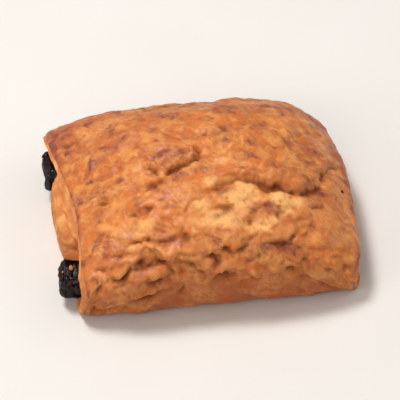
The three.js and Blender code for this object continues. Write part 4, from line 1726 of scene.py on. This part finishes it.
@dataclass(frozen=True)
class ChocolateFinish(Finish):
    """Baked dark chocolate, nearly black; what stands out is painted a dull grey, for its blooming
    and as a painted sheen.
    """

    name: ClassVar[str] = "baked_chocolate"
    dark: Colour = rgb(8, 3, 4)
    brown: Colour = rgb(26, 11, 11)
    bloom_and_sheen: Colour = rgb(62, 44, 48)
    crumb_size: float = 0.9
    crumb_bump: float = 0.8

    def inputs(self, graph: NodeGraph) -> dict[str, object]:
        """Return what feeds the shader.

        Args:
            graph: The material's nodes.

        Returns:
            The values and sockets, by the names of the shader's inputs.
        """
        place = graph.node("TexCoord").outputs["Object"]
        crumb = graph.node("Group", {"Size": self.crumb_size}, node_tree=grain_group())
        # Raised edges and dusty patches are painted grey, partly for real blooming and partly as a
        # painted sheen on the edges.
        worn = graph.ramp(graph.node("NewGeometry").outputs["Pointiness"], 0.5, 0.58)
        colour = graph.blend(crumb.outputs["Mottle"], self.dark, self.brown)
        dust = graph.ramp(graph.noise(place, 1.6, 4.0, 0.6), 0.5, 0.72)
        worn = graph.math("MULTIPLY", worn, 0.4)
        share = graph.math("MULTIPLY_ADD", dust, 0.25, worn, clamp=True)
        return {
            "Base Color": graph.blend(share, colour, self.bloom_and_sheen),
            "Roughness": graph.ramp(crumb.outputs["Mottle"], 0.0, 1.0, 0.28, 0.55),
            "Normal": graph.bump(crumb.outputs["Height"], self.crumb_bump),
            "IOR": 1.47, "Specular IOR Level": 0.25}


@dataclass(frozen=True)
class FloorFinish(Finish):
    """Plain pale floor."""

    name: ClassVar[str] = "pale_floor"
    tone: Colour = rgb(236, 233, 229)
    shade: Colour = rgb(230, 226, 221)

    def inputs(self, graph: NodeGraph) -> dict[str, object]:
        """Return what feeds the shader."""
        mottle = graph.noise(graph.node("TexCoord").outputs["Object"], 60.0, 2.0)
        return {"Base Color": graph.blend(mottle, self.tone, self.shade), "Roughness": 0.7}


# ---- Studio ------------------------------------------------------


@dataclass(frozen=True)
class SoftLight:
    """A square area light that points at the roll."""

    name: str
    place: tuple[float, float, float]
    size: float
    power: float
    tint: tuple[float, float, float] = (1.0, 1.0, 1.0)

    def build(self, target: Vector) -> None:
        """Add the light, pointed at `target`.

        Args:
            target: Point that the light looks at.
        """
        data = bpy.data.lights.new(self.name, "AREA")
        data.shape, data.size, data.energy, data.color = "SQUARE", self.size, self.power, self.tint
        light = bpy.data.objects.new(self.name, data)
        light.location = self.place
        light.rotation_euler = (target - light.location).to_track_quat("-Z", "Y").to_euler()
        bpy.context.scene.collection.objects.link(light)


@dataclass
class Studio:
    """Pale floor, soft light and the camera at the photograph's viewing angle."""

    aim: Vector = field(default_factory=lambda: Vector((-0.001, -0.002, 0.020)))
    camera_place: Vector = field(default_factory=lambda: Vector((-0.1272, -0.9372, 1.0599)))
    camera_up: Vector = field(default_factory=lambda: Vector((0.1018, 0.7586, 0.6435)))
    lens: float = 305.0
    floor_size: float = 4.0
    sky: Colour = (1.0, 0.95, 0.9, 1.0)
    sky_strength: float = 0.30
    lights: tuple[SoftLight, ...] = (
        SoftLight("key", (-0.42, 0.36, 1.35), 0.40, 14.5),
        SoftLight("front_fill", (-0.5, -1.0, 1.2), 0.7, 3.7, (1.0, 0.93, 0.86)),
        SoftLight("left_fill", (-1.15, -0.65, 0.75), 0.5, 3.4, (1.0, 0.95, 0.9)),
        SoftLight("right_fill", (1.2, 0.1, 0.9), 0.9, 2.9),
    )

    def build(self) -> None:
        """Build the camera, the lights and the floor."""
        self.build_camera()
        for light in self.lights:
            light.build(self.aim)
        self.build_world()
        self.build_floor()
        bpy.context.scene.view_settings.view_transform = "Standard"

    def build_camera(self) -> None:
        """Add the camera, with the small tilt of its horizon kept."""
        back = (self.camera_place - self.aim).normalized()
        right = self.camera_up.cross(back).normalized()
        up = back.cross(right)
        data = bpy.data.cameras.new("camera")
        data.lens, data.sensor_width, data.clip_start, data.clip_end = self.lens, 36.0, 0.05, 20.0
        camera = bpy.data.objects.new("camera", data)
        camera.matrix_world = Matrix.Translation(self.camera_place) @ Matrix(
            (right, up, back)).transposed().to_4x4()
        bpy.context.scene.collection.objects.link(camera)
        bpy.context.scene.camera = camera

    def build_world(self) -> None:
        """Fill the surroundings with soft warm light."""
        world = bpy.data.worlds.new("studio")
        world.use_nodes = True
        background = world.node_tree.nodes["Background"]
        background.inputs["Color"].default_value = self.sky
        background.inputs["Strength"].default_value = self.sky_strength
        bpy.context.scene.world = world

    def build_floor(self) -> None:
        """Add the floor that the roll rests on."""
        half = self.floor_size / 2
        mesh = bpy.data.meshes.new("floor")
        corners = [(-half, -half, 0), (half, -half, 0), (half, half, 0), (-half, half, 0)]
        mesh.from_pydata(corners, [], [(0, 1, 2, 3)])
        floor = bpy.data.objects.new("floor", mesh)
        floor.data.materials.append(FloorFinish().material())
        bpy.context.scene.collection.objects.link(floor)


# ---- Whole -------------------------------------------------------


def dress(piece: bpy.types.Object, material: bpy.types.Material,
          node: str | None = None) -> None:
    """Give a piece its finish and let it stand for a node of the frame.

    Args:
        piece: The piece.
        material: Its finish.
        node: Node of the frame that the piece replaces, or None for a loose crumb.
    """
    piece.data.materials.append(material)
    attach(piece, "root")
    if node is not None:
        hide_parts(node)
    LOG.info("%s: %d faces, stands for %s", piece.name, len(piece.data.polygons), node)


def main() -> None:
    """Build the roll and its studio."""
    logging.basicConfig(level=logging.INFO, format="%(name)s: %(message)s")
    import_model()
    Studio().build()
    form = BatonForm()
    crust = CrustRoll().build()
    front = ChocolateBaton("chocolate_bar_front", form.front_y, chipped=2.4).build()
    back = ChocolateBaton("chocolate_bar_back", form.back_y).build()
    dough_crumbs = scatter("dough_crumbs", DOUGH_CRUMBS, front)
    burnt_crumbs = scatter("burnt_crumbs", BURNT_CRUMBS, crust)
    baked, chocolate = CrustFinish().material(), ChocolateFinish().material()
    dress(crust, baked, "pastry")
    dress(front, chocolate, "chocolate_front")
    dress(back, chocolate, "chocolate_back")
    dress(dough_crumbs, baked)
    dress(burnt_crumbs, chocolate)


if __name__ == "__main__":
    main()
